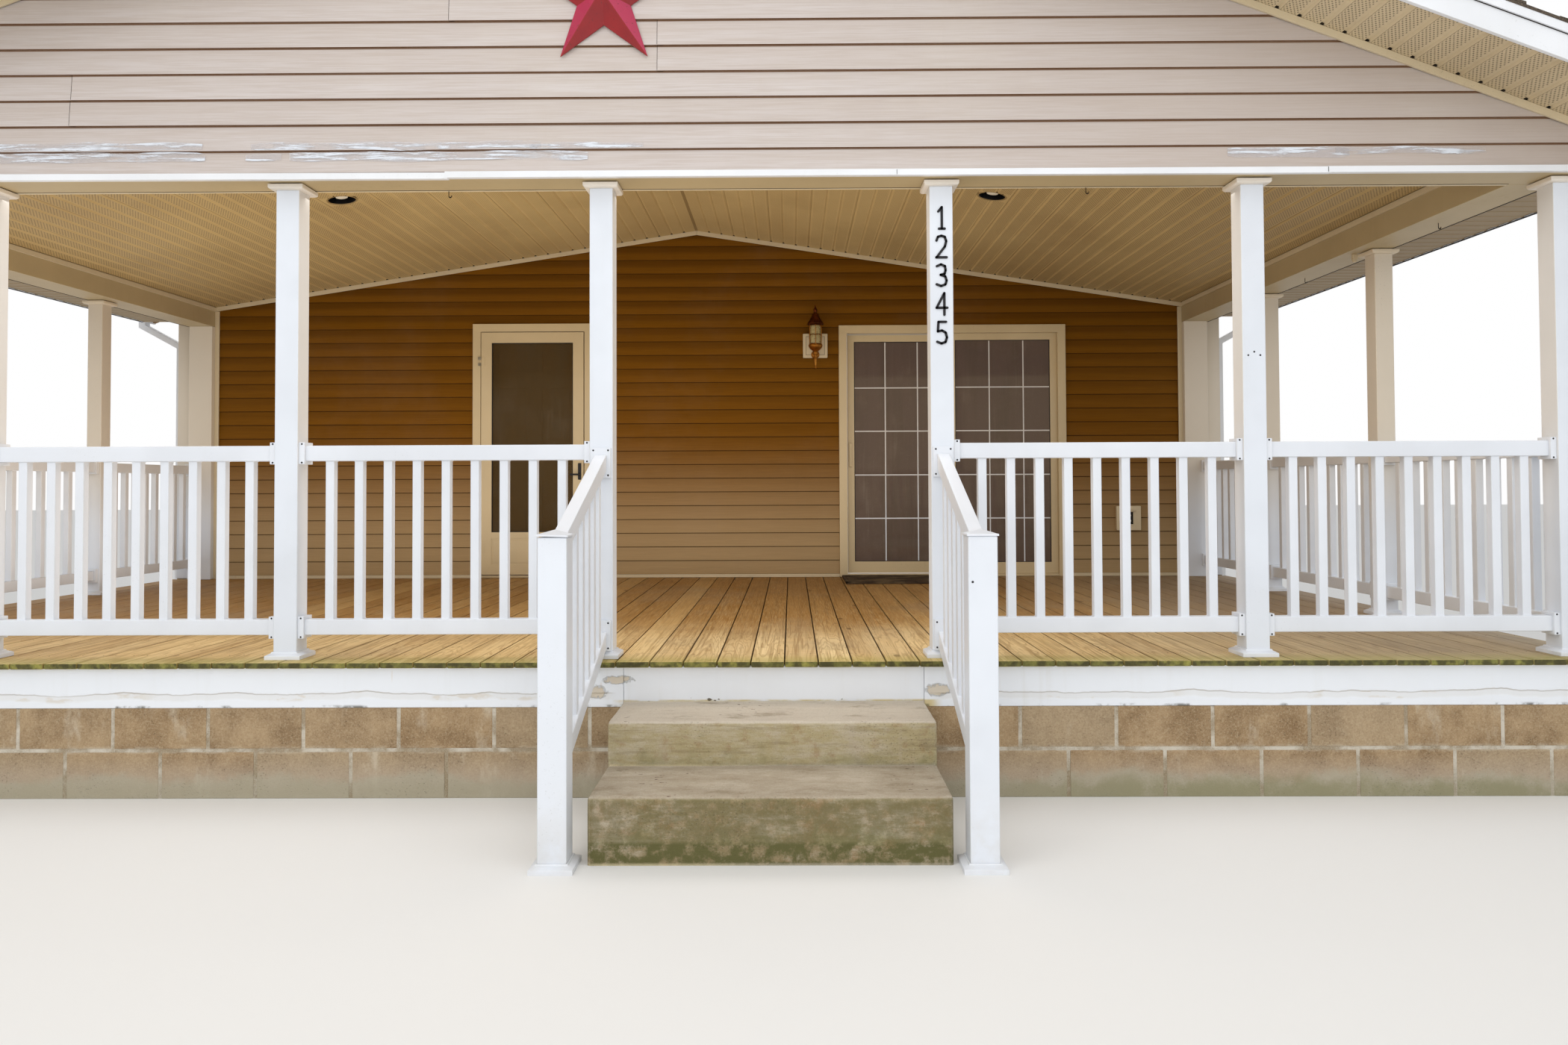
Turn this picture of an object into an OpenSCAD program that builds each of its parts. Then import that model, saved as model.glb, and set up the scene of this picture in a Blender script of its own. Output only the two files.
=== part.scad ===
// Front porch with a gable roof, vinyl posts and railings, on a block foundation.
// All lengths are in mm. X runs to the right, Y into the house, Z up from the ground.
// Depths are counted from the front face of the foundation and moved by y0.

/* [Overall] */
// Half width of the block foundation
half_w = 4270; // [3400:10:5200]
// Depth from the foundation front to the siding of the house
depth = 4087; // [3300:1:5000]
// Height of the deck top above the ground
deck_h = 578; // [380:1:900]
// Height from the deck top to the underside of the beams
clear_h = 2067; // [1900:1:2600]

/* [Foundation and deck] */
// Thickness of the block walls
block_t = 200; // [140:5:300]
// Height of the rim boards
rim_h = 170; // [120:1:240]
// Thickness of the rim boards
rim_t = 38; // [25:1:60]
// Thickness of the deck boards
board_t = 25.4; // [20:0.1:40]
// How far the deck boards stand past the rim
board_over = 30; // [5:1:60]
// Thickness of a floor joist
joist_t = 38; // [30:1:60]
// Number of floor joists
joist_n = 9; // [5:1:14]

/* [Posts] */
// Side of a square post sleeve
post_w = 101.6; // [80:0.1:150]
// Centre of the corner posts in from the edge of the foundation
corner_in = 148; // [90:1:300]
// Centre of the second posts from the middle
post_x_outer = 2772; // [2200:1:3600]
// Centre of the third post on the left
post_x_left = -1425; // [-1900:1:-1000]
// Centre of the post left of the steps
post_x_step_l = -55; // [-400:1:200]
// Centre of the post right of the steps
post_x_step_r = 1424; // [1100:1:1800]
// Front face of the front posts behind the foundation front
post_y = 70; // [40:1:160]
// Share of the depth that one of the longer side bays takes
side_share = 0.3448; // [0.3:0.0001:0.36]
// Width of the half posts on the house wall
pilaster_w = 190; // [120:1:260]
// Thickness of the half posts on the house wall
pilaster_t = 50; // [25:1:100]
// Side of a post base collar
base_w = 153; // [120:1:200]
// Height of a post base collar
base_h = 31; // [20:1:60]
// Side of a post top collar
cap_w = 152; // [120:1:200]
// Height of a post top collar
cap_h = 35; // [20:1:60]
// Play between a collar and what passes through it
collar_gap = 0.3; // [0.1:0.1:1]

/* [Railing] */
// Top of the handrail above the deck
rail_top = 924; // [800:1:1100]
// Height of a rail section
rail_h = 67; // [50:1:100]
// Width of a rail section
rail_w = 52; // [38:1:90]
// Underside of the bottom rail above the deck
rail_low = 100; // [50:1:160]
// Side of a baluster
bal_w = 38; // [25:1:50]
// Spacing of the balusters, which each bay rounds to fit
bal_pitch = 127; // [90:1:160]
// Length of a rail bracket along the rail
brk_l = 25; // [15:1:40]
// Wall of a rail bracket around the rail
brk_t = 14; // [8:1:20]

/* [Steps] */
// Width of the concrete steps
step_w = 1274; // [1000:1:1600]
// Middle of the steps
step_x = 690; // [400:1:900]
// Drop of the upper step below the deck top
step_1_drop = 172; // [120:1:220]
// Drop of the lower step below the deck top
step_2_drop = 341; // [260:1:420]
// Reach of the upper step in front of the foundation
step_1_y = 384; // [280:1:480]
// Reach of the lower step in front of the foundation
step_2_y = 793; // [580:1:960]
// Nose radius of a step
nose_r = 14; // [5:1:30]
// Newel front face in front of the foundation
newel_y = 860; // [650:1:1100]
// Newel top above the deck top
newel_top = 589; // [400:1:700]
// Height of a newel cap
newel_cap_h = 24; // [14:1:60]
// Fall of the stair rail for each unit of run
stair_fall = 0.385; // [0.2:0.005:0.6]
// Top of the upper stair rail above the deck at the post
stair_top = 883; // [800:1:1100]
// Underside of the lower stair rail above the deck at the post
stair_low = 48; // [20:1:160]
// Thickness of the plates behind the stair rail ends
plate_t = 12; // [5:1:20]
// Balusters in a stair rail
stair_bal_n = 6; // [4:1:9]

/* [Beams and ceiling] */
// Height of the beams
beam_h = 238; // [180:1:320]
// Width of the front beam
beam_w = 190; // [140:1:260]
// Width of the side beams
side_beam_w = 212.8; // [140:0.1:300]
// Height of the ceiling over the underside of the side beams
ceil_up = 161; // [60:1:220]
// Rise of the ceiling from the side beams to the middle
ceil_rise = 612; // [200:1:900]
// Thickness of the ceiling panels
ceil_t = 12; // [8:1:25]
// Height of the white drip edge under the gable siding
drip_h = 28; // [15:1:50]
// Middle of the recessed lights from the middle of the porch
lamp_x = 2018; // [1400:1:2800]
// Recessed lights behind the foundation front
lamp_y = 1993; // [1200:1:3000]
// Opening radius of a recessed light
lamp_r = 80; // [50:1:110]

/* [Roof] */
// Height of the eave soffit over the underside of the beams
eave_up = 56.35; // [40:0.05:90]
// Fall of the roof for each unit of run
roof_fall = 0.383; // [0.3:0.001:0.5]
// Height of the rafters
rafter_h = 130; // [90:1:200]
// Thickness of the roof deck with its covering
roof_t = 26; // [18:1:50]
// Reach of the eaves past the edge of the foundation
eave_over = 280; // [200:1:500]
// Overhang of the gable in front of the foundation
rake_over = 355; // [150:1:600]
// Thickness of the fascia boards
fascia_t = 19; // [12:1:38]
// Radius of the barn star
star_r = 320; // [200:1:420]
// Middle of the star over the underside of the beams
star_up = 830; // [700:1:1000]
// Depth of the star
star_d = 75; // [30:1:120]

/* [House wall] */
// Thickness of the siding
siding_t = 13; // [9:0.5:20]
// Height of one siding course
course_h = 112; // [90:1:150]
// Thickness of the house wall without siding
wall_t = 140; // [100:1:200]
// Left edge of the entry opening
entry_x = -1793; // [-2100:1:-1500]
// Width of the entry opening
entry_w = 894; // [800:1:1000]
// Height of the entry opening over the deck
entry_h = 2036; // [1950:1:2150]
// Left edge of the sliding door opening
slider_x = 1204; // [1000:1:1500]
// Width of the sliding door opening
slider_w = 1762; // [1500:1:2000]
// Height of the sliding door opening over the deck
slider_h = 2010; // [1950:1:2150]
// Width of the outer door trim
trim_w = 44; // [30:1:90]
// Thickness of the outer door trim over the siding
trim_t = 20; // [10:1:40]
// Face width of a door jamb
jamb_w = 22; // [15:1:40]

/* [Doors] */
// Play around a moving door
door_gap = 6; // [5.2:0.1:10]
// Thickness of the storm door
storm_t = 36; // [25:1:45]
// Width of the storm door stiles
storm_stile = 86; // [60:1:130]
// Underside of the storm door glass over the deck
storm_glass_z = 374; // [250:1:900]
// Thickness of the entry door
entry_t = 44; // [35:1:50]
// Thickness of a sliding door panel
panel_t = 32; // [25:1:40]
// Width of a sliding panel stile
stile_w = 56; // [40:1:90]
// Height of the bottom rail of a sliding panel
panel_low = 92; // [60:1:140]
// Thickness of a pane
glass_t = 6; // [4:1:20]
// Radius of a hinge knuckle
knuckle_r = 4.2; // [3.5:0.1:4.6]
// Height of a hinge knuckle
knuckle_h = 24; // [16:1:40]
// Radius of a hinge pin
pin_r = 2; // [1.5:0.1:2.4]
// Distance from a hinge pin to the face of its door
pin_out = 4; // [3.5:0.1:6]
// Middle of the lantern from the middle of the porch
lantern_x = 968; // [300:1:1060]
// Left edge of the outlet block
outlet_x = 3408; // [3100:1:3600]
// Left edge of the door mat
mat_x = 1177; // [700:1:2000]
// Width of the door mat
mat_w = 903; // [500:1:1000]
// Depth of the door mat
mat_d = 610; // [300:1:700]

/* [Shown] */
// Sub-part to build, or all

/* [Hidden] */
$fn = 32;
back = depth + siding_t + wall_t;
front_reach = newel_y + (base_w - post_w) / 2;
y0 = (front_reach - back) / 2;
beam_z = deck_h + clear_h;
beam_top = beam_z + beam_h;
post_x_corner = half_w - corner_in;
beam_out = post_x_corner + post_w / 2;
beam_in = beam_out - side_beam_w;
rim_z = deck_h - board_t - rim_h;
eave_x = half_w + eave_over;
ridge_soffit = beam_z + eave_up + roof_fall * eave_x;
ridge_under = ridge_soffit + rafter_h;
post_xs = [-post_x_corner, -post_x_outer, post_x_left, post_x_step_l, post_x_step_r,
           post_x_outer, post_x_corner];
newel_xs = [post_x_step_l, post_x_step_r];
side_pitch = round((depth - post_y) * side_share);
side_ys = [post_y + side_pitch, post_y + 2 * side_pitch];
bays = [0, 1, 2, 4, 5];
side_from = [post_y + post_w, side_ys[0] + post_w, side_ys[1] + post_w];
side_to = [side_ys[0], side_ys[1], depth - 3 - pilaster_t];
ceil_low = beam_z + ceil_up;
ceil_fall = ceil_rise / beam_in;
ceil_tilt = atan(ceil_fall);
storm_y = depth - 24;
jamb_back = back - 2 * pin_out - 1;
entry_y = jamb_back - entry_t;
pin_x = entry_x + jamb_w + door_gap / 2;
storm_pin = storm_y - pin_out;
entry_pin = jamb_back + pin_out;
hinge_zs = [deck_h + 250, deck_h + 1010, deck_h + 1770];
fixed_y = depth + 14;
slide_y = depth + 14 + panel_t + door_gap;
panel_w = slider_w / 2 - jamb_w + stile_w / 2;
sill_h = 22;

// A block from corner a to corner b, with depths counted from the foundation front.
module block(a, b) {
    translate([a[0], a[1] + y0, a[2]]) cube([b[0] - a[0], b[1] - a[1], b[2] - a[2]]);
}

// A shape drawn in X and Z, running back from depth d by the length l.
module along_y(d, l) {
    translate([0, d + y0 + l, 0]) rotate([90, 0, 0]) linear_extrude(l) children();
}

// A shape drawn in depth and Z, running along X from x by the length l.
module along_x(x, l) {
    translate([x, y0, 0]) rotate([90, 0, 90]) linear_extrude(l) children();
}

// A square bar standing on z, centred on x and d.
module upright(x, d, w, z, top) {
    block([x - w / 2, d - w / 2, z], [x + w / 2, d + w / 2, top]);
}

// A collar around a square post, with a bevel on its free edge.
module collar(x, d, w, h, z, up) {
    edge = 9;
    translate([x, d + y0, up ? z : z + h]) mirror([0, 0, up ? 0 : 1]) difference() {
        union() {
            translate([-w / 2, -w / 2, 0]) cube([w, w, h - edge]);
            translate([0, 0, h - edge]) linear_extrude(edge, scale = (w - 2 * edge) / w)
                square(w, center = true);
        }
        translate([-post_w / 2 - collar_gap, -post_w / 2 - collar_gap, -1])
            cube([post_w + 2 * collar_gap, post_w + 2 * collar_gap, h + 2]);
    }
}

// Height of the soffit line of the roof at x.
function soffit_z(x) = ridge_soffit - roof_fall * abs(x);

// Height of the underside of the ceiling at x.
function ceil_z(x) = ceil_low + ceil_rise - ceil_fall * abs(x);

// Number of balusters in a bay of length l.
function bay_count(l) = max(1, round(l / bal_pitch) - 1);

// Block walls under the front, the sides and the house.
module foundation() {
    color("#a08b6c") {
        block([-half_w, 0, 0], [half_w, block_t, rim_z]);
        for (x = [-half_w, half_w - block_t])
            block([x, block_t + 0.3, 0], [x + block_t, depth - 0.3, rim_z]);
        block([-half_w, depth, 0], [half_w, back, rim_z]);
    }
}

// Two solid steps with rounded noses, cast as one block.
module steps() {
    z1 = deck_h - step_1_drop;
    z2 = deck_h - step_2_drop;
    color("#9c9582") along_x(step_x - step_w / 2, step_w) {
        translate([-step_1_y + nose_r, z1 - nose_r]) circle(nose_r);
        translate([-step_2_y + nose_r, z2 - nose_r]) circle(nose_r);
        polygon([[0, 0], [0, z1], [-step_1_y + nose_r, z1], [-step_1_y, z1 - nose_r],
                 [-step_1_y, z2], [-step_2_y + nose_r, z2], [-step_2_y, z2 - nose_r],
                 [-step_2_y, 0]]);
    }
}

// Rim boards around the front and the sides, with a set-back board over the steps.
module rim_boards() {
    top = deck_h - board_t;
    a = step_x - step_w / 2;
    b = step_x + step_w / 2;
    color("#eceef0") {
        block([-half_w, 0, rim_z], [a - 1, rim_t, top]);
        block([b + 1, 0, rim_z], [half_w, rim_t, top]);
        block([-half_w, rim_t + 0.3, rim_z], [-half_w + rim_t, depth - 10, top]);
        block([half_w - rim_t, rim_t + 0.3, rim_z], [half_w, depth - 10, top]);
        block([a, 4, rim_z], [b, rim_t, top]);
    }
}

// Floor joists across the porch, set between the side rims on the block walls.
module joists() {
    top = deck_h - board_t;
    run = depth - 10 - block_t - joist_t;
    color("#b08d5a") for (i = [0 : joist_n - 1])
        block([-half_w + rim_t, block_t - joist_t + i * run / (joist_n - 1), rim_z],
              [half_w - rim_t, block_t + i * run / (joist_n - 1), top]);
}

module deck_floor() {
    color("#a9793f") block([-half_w - board_over, -board_over, deck_h - board_t],
                           [half_w + board_over, depth - 3, deck_h]);
}

// Posts along the front and the sides, and half posts on the house wall.
module posts() {
    color("#f2f3f5") {
        for (x = post_xs) upright(x, post_y + post_w / 2, post_w, deck_h, beam_z);
        for (s = [-1, 1], d = side_ys)
            upright(s * post_x_corner, d + post_w / 2, post_w, deck_h, beam_z);
        for (x = [-beam_in - pilaster_w, beam_in])
            block([x, depth - 3 - pilaster_t, deck_h], [x + pilaster_w, depth - 3, beam_z]);
    }
}

module post_bases() {
    color("#f2f3f5") {
        for (x = post_xs) collar(x, post_y + post_w / 2, base_w, base_h, deck_h, true);
        for (s = [-1, 1], d = side_ys)
            collar(s * post_x_corner, d + post_w / 2, base_w, base_h, deck_h, true);
        for (x = newel_xs) collar(x, -newel_y + post_w / 2, base_w, base_h, 0, true);
    }
}

module post_caps() {
    color("#d8cdb8") {
        for (x = post_xs)
            collar(x, post_y + post_w / 2, cap_w, cap_h, beam_z - cap_h, false);
        for (s = [-1, 1], d = side_ys)
            collar(s * post_x_corner, d + post_w / 2, cap_w, cap_h, beam_z - cap_h, false);
    }
}

// One railing bay along X between two faces, centred on depth d.
module bay_x(a, b, d) {
    top = deck_h + rail_top;
    low = deck_h + rail_low;
    n = bay_count(b - a);
    pitch = (b - a) / (n + 1);
    block([a, d - rail_w / 2, top - rail_h], [b, d + rail_w / 2, top]);
    block([a, d - rail_w / 2, low], [b, d + rail_w / 2, low + rail_h]);
    for (i = [1 : n])
        block([a + i * pitch - bal_w / 2, d - bal_w / 2, low + rail_h - 1],
              [a + i * pitch + bal_w / 2, d + bal_w / 2, top - rail_h + 1]);
}

// One railing bay along Y between two depths, centred on x.
module bay_y(a, b, x) {
    top = deck_h + rail_top;
    low = deck_h + rail_low;
    n = bay_count(b - a);
    pitch = (b - a) / (n + 1);
    block([x - rail_w / 2, a, top - rail_h], [x + rail_w / 2, b, top]);
    block([x - rail_w / 2, a, low], [x + rail_w / 2, b, low + rail_h]);
    for (i = [1 : n])
        block([x - bal_w / 2, a + i * pitch - bal_w / 2, low + rail_h - 1],
              [x + bal_w / 2, a + i * pitch + bal_w / 2, top - rail_h + 1]);
}

module railing_front() {
    color("#f2f3f5") for (i = bays)
        bay_x(post_xs[i] + post_w / 2, post_xs[i + 1] - post_w / 2, post_y + post_w / 2);
}

module railing_sides() {
    color("#f2f3f5") for (s = [-1, 1], k = [0 : 2])
        bay_y(side_from[k], side_to[k], s * post_x_corner);
}

// Sloping stair rail from the newel up to the front post, with plumb balusters.
module stair_rail(x) {
    d0 = -newel_y + post_w + plate_t;
    d1 = post_y - plate_t;
    run = d1 - d0;
    fall = run * stair_fall;
    top = deck_h + stair_top - plate_t * stair_fall;
    low = deck_h + stair_low - plate_t * stair_fall;
    pitch = run / (stair_bal_n + 1);
    h = rail_h * 1.06;
    color("#f2f3f5") {
        along_x(x - rail_w / 2, rail_w) {
            polygon([[d0, top - fall - h], [d1, top - h], [d1, top], [d0, top - fall]]);
            polygon([[d0, low - fall], [d1, low], [d1, low + h], [d0, low - fall + h]]);
        }
        for (i = [1 : stair_bal_n]) {
            a = d0 + i * pitch - bal_w / 2;
            z = (d1 - a) * stair_fall;
            e = bal_w * stair_fall;
            along_x(x - bal_w / 2, bal_w)
                polygon([[a, low - z + h - 1], [a + bal_w, low - z + e + h - 1],
                         [a + bal_w, top - z + e - h + 1], [a, top - z - h + 1]]);
        }
    }
}

module stair_rails() {
    for (x = newel_xs) stair_rail(x);
}

module newels() {
    color("#f2f3f5") for (x = newel_xs)
        upright(x, -newel_y + post_w / 2, post_w, 0, deck_h + newel_top - newel_cap_h);
}

module newel_caps() {
    w = post_w + 8;
    z = deck_h + newel_top - newel_cap_h;
    color("#f2f3f5") for (x = newel_xs) translate([x, -newel_y + post_w / 2 + y0, 0]) {
        translate([-w / 2, -w / 2, z + 0.3]) cube([w, w, 7]);
        translate([0, 0, z + 7.3]) linear_extrude(newel_cap_h - 7.3, scale = 0.02)
            square(w, center = true);
    }
}

// A collar around a rail end that butts on a post, along X or Y.
module bracket(x, d, z, turn) {
    w = rail_w / 2 + collar_gap;
    o = rail_w / 2 + brk_t;
    translate([x, d + y0, z]) rotate([0, 0, turn]) difference() {
        translate([0, -o, -brk_t]) cube([brk_l, 2 * o, rail_h + 2 * brk_t]);
        translate([-1, -w, -collar_gap]) cube([brk_l + 2, 2 * w, rail_h + 2 * collar_gap]);
    }
}

// A plate behind the end of a stair rail whose middle is at height z.
module end_plate(x, d, z) {
    block([x - 43, d, z - 66], [x + 43, d + plate_t - 0.3, z + 66]);
}

module rail_brackets() {
    d = post_y + post_w / 2;
    zs = [deck_h + rail_top - rail_h, deck_h + rail_low];
    fall = (post_y + newel_y - post_w) * stair_fall;
    color("#f2f3f5") for (x = newel_xs) {
        end_plate(x, post_y - plate_t, deck_h + stair_top - rail_h * 0.6);
        end_plate(x, post_y - plate_t, deck_h + base_h + 67);
        end_plate(x, -newel_y + post_w + 0.3, deck_h + newel_top - newel_cap_h - 67);
        end_plate(x, -newel_y + post_w + 0.3, deck_h + stair_low + rail_h * 0.6 - fall);
    }
    color("#f2f3f5") for (z = zs) {
        for (i = bays) {
            bracket(post_xs[i] + post_w / 2, d, z, 0);
            bracket(post_xs[i + 1] - post_w / 2, d, z, 180);
        }
        for (s = [-1, 1], k = [0 : 2]) {
            bracket(s * post_x_corner, side_from[k], z, 90);
            bracket(s * post_x_corner, side_to[k], z, 270);
        }
    }
}

// Front beam between the corner posts, and side beams back to the house.
module beams() {
    color("#d9cfbb") {
        block([-beam_out, 12, beam_z], [beam_out, beam_w, beam_top]);
        for (x = [-beam_out, beam_in])
            block([x, beam_w + 0.3, beam_z], [x + beam_out - beam_in, depth - 3, beam_top]);
    }
}

// A place on the sloping ceiling, with +Z square to the panels.
module on_ceiling(s) {
    translate([s * lamp_x, lamp_y + y0, ceil_z(lamp_x)])
        rotate([0, s * ceil_tilt, 0]) children();
}

module ceiling_half(s) {
    e = beam_in - 0.3;
    color("#c9b48c") difference() {
        along_y(beam_w, depth - 3 - beam_w)
            polygon([[s, ceil_z(1)], [s * e, ceil_z(e)], [s * e, ceil_z(e) + ceil_t],
                     [s, ceil_z(1) + ceil_t]]);
        on_ceiling(s) translate([0, 0, -20]) cylinder(r = lamp_r, h = 60);
    }
}

module ceiling() {
    ceiling_half(-1);
    ceiling_half(1);
}

// Recessed cans with a trim ring under the ceiling and a lamp inside.
module ceiling_lights() {
    for (s = [-1, 1]) on_ceiling(s) {
        color("#cfc4aa") difference() {
            union() {
                translate([0, 0, -4.1]) cylinder(r = lamp_r + 14, h = 4);
                translate([0, 0, -0.2]) cylinder(r = lamp_r - collar_gap, h = 110);
            }
            translate([0, 0, -5]) cylinder(r = lamp_r - 4, h = 110);
        }
        color("#f1eee2") translate([0, 0, 30]) cylinder(r1 = 40, r2 = 22, h = 74.7);
    }
}

// Channels where the siding and the ceiling meet their neighbours, and a foot strip.
module wall_trim() {
    w = 34;
    t = 11.7;
    b = beam_in - 0.3;
    c = ceil_z(b);
    p = ceil_z(1);
    o = beam_out;
    e = trim_w + 0.3;
    color("#d8cdb8") for (s = [-1, 1]) {
        along_y(-1.3 - t, t)
            polygon([[s, soffit_z(1) - w - 0.3], [s * o, soffit_z(o) - w - 0.3],
                     [s * o, soffit_z(o) - 0.3], [s, soffit_z(1) - 0.3]]);
        for (d = [beam_w + 0.3, depth - 0.3 - t])
            along_y(d, t)
                polygon([[s, p - w], [s * b, c - w], [s * b, c - 0.3], [s, p - 0.3]]);
        block([s > 0 ? b - t : -b, beam_w + t + 0.6, c - w],
              [s > 0 ? b : -b + t, depth - t - 0.6, c - 0.6 - ceil_fall * t]);
        block([s > 0 ? b - w : -b, depth - 0.3 - t, deck_h + 26.3],
              [s > 0 ? b : -b + w, depth - 0.3, c - w - 0.3]);
    }
    color("#f4f4f2") for (r = [[-b, entry_x - e], [entry_x + entry_w + e, slider_x - e],
                               [slider_x + slider_w + e, b]])
        block([r[0], depth - 8, deck_h + 0.3], [r[1], depth + siding_t - 0.3, deck_h + 25.7]);
}

module gable_wall() {
    z = beam_top;
    x = (ridge_soffit - z) / roof_fall;
    color("#b9a98c") along_y(12, 90) polygon([[-x, z], [x, z], [0, ridge_soffit]]);
}

// Lapped siding drawn as a row of wedges, in depth and Z.
module lap_profile(z, top) {
    n = ceil((top - z) / course_h);
    polygon(concat([[0, z + n * course_h], [0, z]],
        [for (i = [0 : n - 1], k = [0, 1])
            [k == 0 ? -siding_t : -siding_t * 0.35, z + (i + k) * course_h]]));
}

module gable_siding() {
    z = beam_z + drip_h;
    x = (ridge_soffit - z) / roof_fall;
    e = beam_out;
    color("#cfc0a6") intersection() {
        translate([0, 12, 0]) along_x(-e, 2 * e) lap_profile(z, ridge_soffit);
        along_y(-10, 40) polygon([[-e, z], [e, z], [e, soffit_z(e)], [0, ridge_soffit],
                                  [-e, soffit_z(e)]]);
    }
}

// Metal strips under the gable siding and over the top of the rake boards.
module drip_edges() {
    e = eave_x + fascia_t;
    d = -rake_over - fascia_t;
    h = rafter_h - 0.3;
    color("#f4f4f2") {
        block([-beam_out, -16, beam_z - 2], [beam_out, 11.7, beam_z + drip_h - 0.3]);
        for (s = [-1, 1])
            along_y(d - 10, 9.7)
                polygon([[s, soffit_z(1) + h - 36], [s * e, soffit_z(e) + h - 36],
                         [s * e, soffit_z(e) + h], [s, soffit_z(1) + h]]);
    }
}

// Five-pointed star with raised arms.
module barn_star() {
    r = star_r * 0.382;
    pts = [for (i = [0 : 9])
        let (a = 90 + i * 36, q = i % 2 == 0 ? star_r : r) [q * cos(a), q * sin(a)]];
    color("#a3141f") translate([post_x_step_l, y0 - 1.3, beam_z + star_up]) rotate([90, 0, 0])
        polyhedron(points = concat([for (p = pts) [p[0], p[1], 0]],
                                   [for (p = pts) [p[0], p[1], 6]],
                                   [[0, 0, star_d], [0, 0, 0]]),
            faces = concat([for (i = [0 : 9]) [i, (i + 1) % 10, 21]],
                [for (i = [0 : 9]) [i, i + 10, (i + 1) % 10 + 10, (i + 1) % 10]],
                [for (i = [0 : 9]) [i + 10, 20, (i + 1) % 10 + 10]]));
}

// Rafter pairs with a seat cut over the side beams.
module rafters() {
    n = 8;
    a = 110;
    run = back - a - 38;
    seat = (ridge_soffit - beam_top) / roof_fall;
    color("#b89a66") for (i = [0 : n - 1])
        along_y(a + i * run / (n - 1), 38) polygon([
            [0, ridge_soffit], [seat, beam_top], [beam_out, beam_top],
            [beam_out, soffit_z(beam_out)], [eave_x - 0.3, soffit_z(eave_x)],
            [eave_x - 0.3, soffit_z(eave_x) + rafter_h - 0.3], [0, ridge_under - 0.3],
            [0.3 - eave_x, soffit_z(eave_x) + rafter_h - 0.3], [0.3 - eave_x, soffit_z(eave_x)],
            [-beam_out, soffit_z(beam_out)], [-beam_out, beam_top], [-seat, beam_top]]);
}

module roof_half(s) {
    e = eave_x + fascia_t + 16;
    z = ridge_under - roof_fall * e;
    top = ridge_under - roof_fall;
    color("#5d544c") along_y(-rake_over - fascia_t - 12, back + rake_over + fascia_t + 12)
        polygon([[s, top], [s * e, z], [s * e, z + roof_t], [s, top + roof_t]]);
}

module roof_panels() {
    roof_half(-1);
    roof_half(1);
}

module ridge_cap() {
    z = ridge_under + roof_t + 0.3;
    color("#5d544c") along_y(-rake_over - fascia_t - 12, back + rake_over + fascia_t + 12)
        polygon([[0, z], [140, z - 140 * roof_fall], [140, z - 140 * roof_fall + 7], [0, z + 7],
                 [-140, z - 140 * roof_fall + 7], [-140, z - 140 * roof_fall]]);
}

// White boards that close the gable overhang and the eaves.
module fascia() {
    e = eave_x + fascia_t;
    z = soffit_z(eave_x);
    g = 0.3;
    color("#f4f4f2") for (s = [-1, 1]) {
        along_y(-rake_over - fascia_t, fascia_t)
            polygon([[s, soffit_z(1) - 8], [s * e, soffit_z(e) - 8],
                     [s * e, soffit_z(e) + rafter_h - g], [s, soffit_z(1) + rafter_h - g]]);
        along_y(-rake_over + g, back + rake_over - g)
            polygon([[s * eave_x, z - 8], [s * e, z - 8],
                     [s * e, z + rafter_h - roof_fall * fascia_t - g],
                     [s * eave_x, z + rafter_h - g]]);
    }
}

// Vented panels under the gable overhang and the eaves, with plates that close their ends.
module soffits() {
    z = soffit_z(eave_x);
    o = beam_out + 0.3;
    color("#c9b48c") for (s = [-1, 1]) {
        along_y(-rake_over + 0.3, rake_over - 1.6)
            polygon([[s, soffit_z(1)], [s * (eave_x - 0.3), z],
                     [s * (eave_x - 0.3), z + ceil_t], [s, soffit_z(1) + ceil_t]]);
        block([s > 0 ? o : -eave_x + 0.3, 0, z - ceil_t],
              [s > 0 ? eave_x - 0.3 : -o, depth, z - 0.3]);
        along_y(0, ceil_t)
            polygon([[s * o, z], [s * (eave_x - 0.3), z], [s * o, soffit_z(o)]]);
    }
}

// Open gutters hung on the eave boards, with a plate at each end.
module gutters() {
    z = soffit_z(eave_x) + rafter_h - 104;
    x = eave_x + fascia_t + 0.3;
    color("#f4f4f2") for (s = [-1, 1]) {
        along_y(-rake_over, back + rake_over) translate([s * x, z])
            polygon([[0, 0], [s * 80, 0], [s * 118, 42], [s * 118, 78], [s * 114, 78],
                     [s * 114, 44], [s * 78, 4], [s * 4, 4], [s * 4, 84], [0, 84]]);
        for (d = [-rake_over, back - 3]) along_y(d, 3) translate([s * x, z])
            polygon([[0, 0], [s * 80, 0], [s * 118, 42], [s * 118, 78], [0, 84]]);
    }
}

// Square pipes from the gutters down the ends of the house wall to the ground.
module downspouts() {
    a = half_w + 0.3;
    w = 56;
    x = eave_x + fascia_t + 20;
    z = soffit_z(eave_x) + rafter_h - 104.3;
    color("#f4f4f2") for (s = [-1, 1])
        along_y(back - 82, 72)
            polygon([for (p = [[x, z], [x + w, z], [x + w, z - 70], [a + w, z - 245], [a + w, 90],
                               [a + w + 75, 50], [a + w + 60, 5], [a + 20, 35], [a, 75],
                               [a, z - 225], [x, z - 50]]) [s * p[0], p[1]]]);
}

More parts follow.
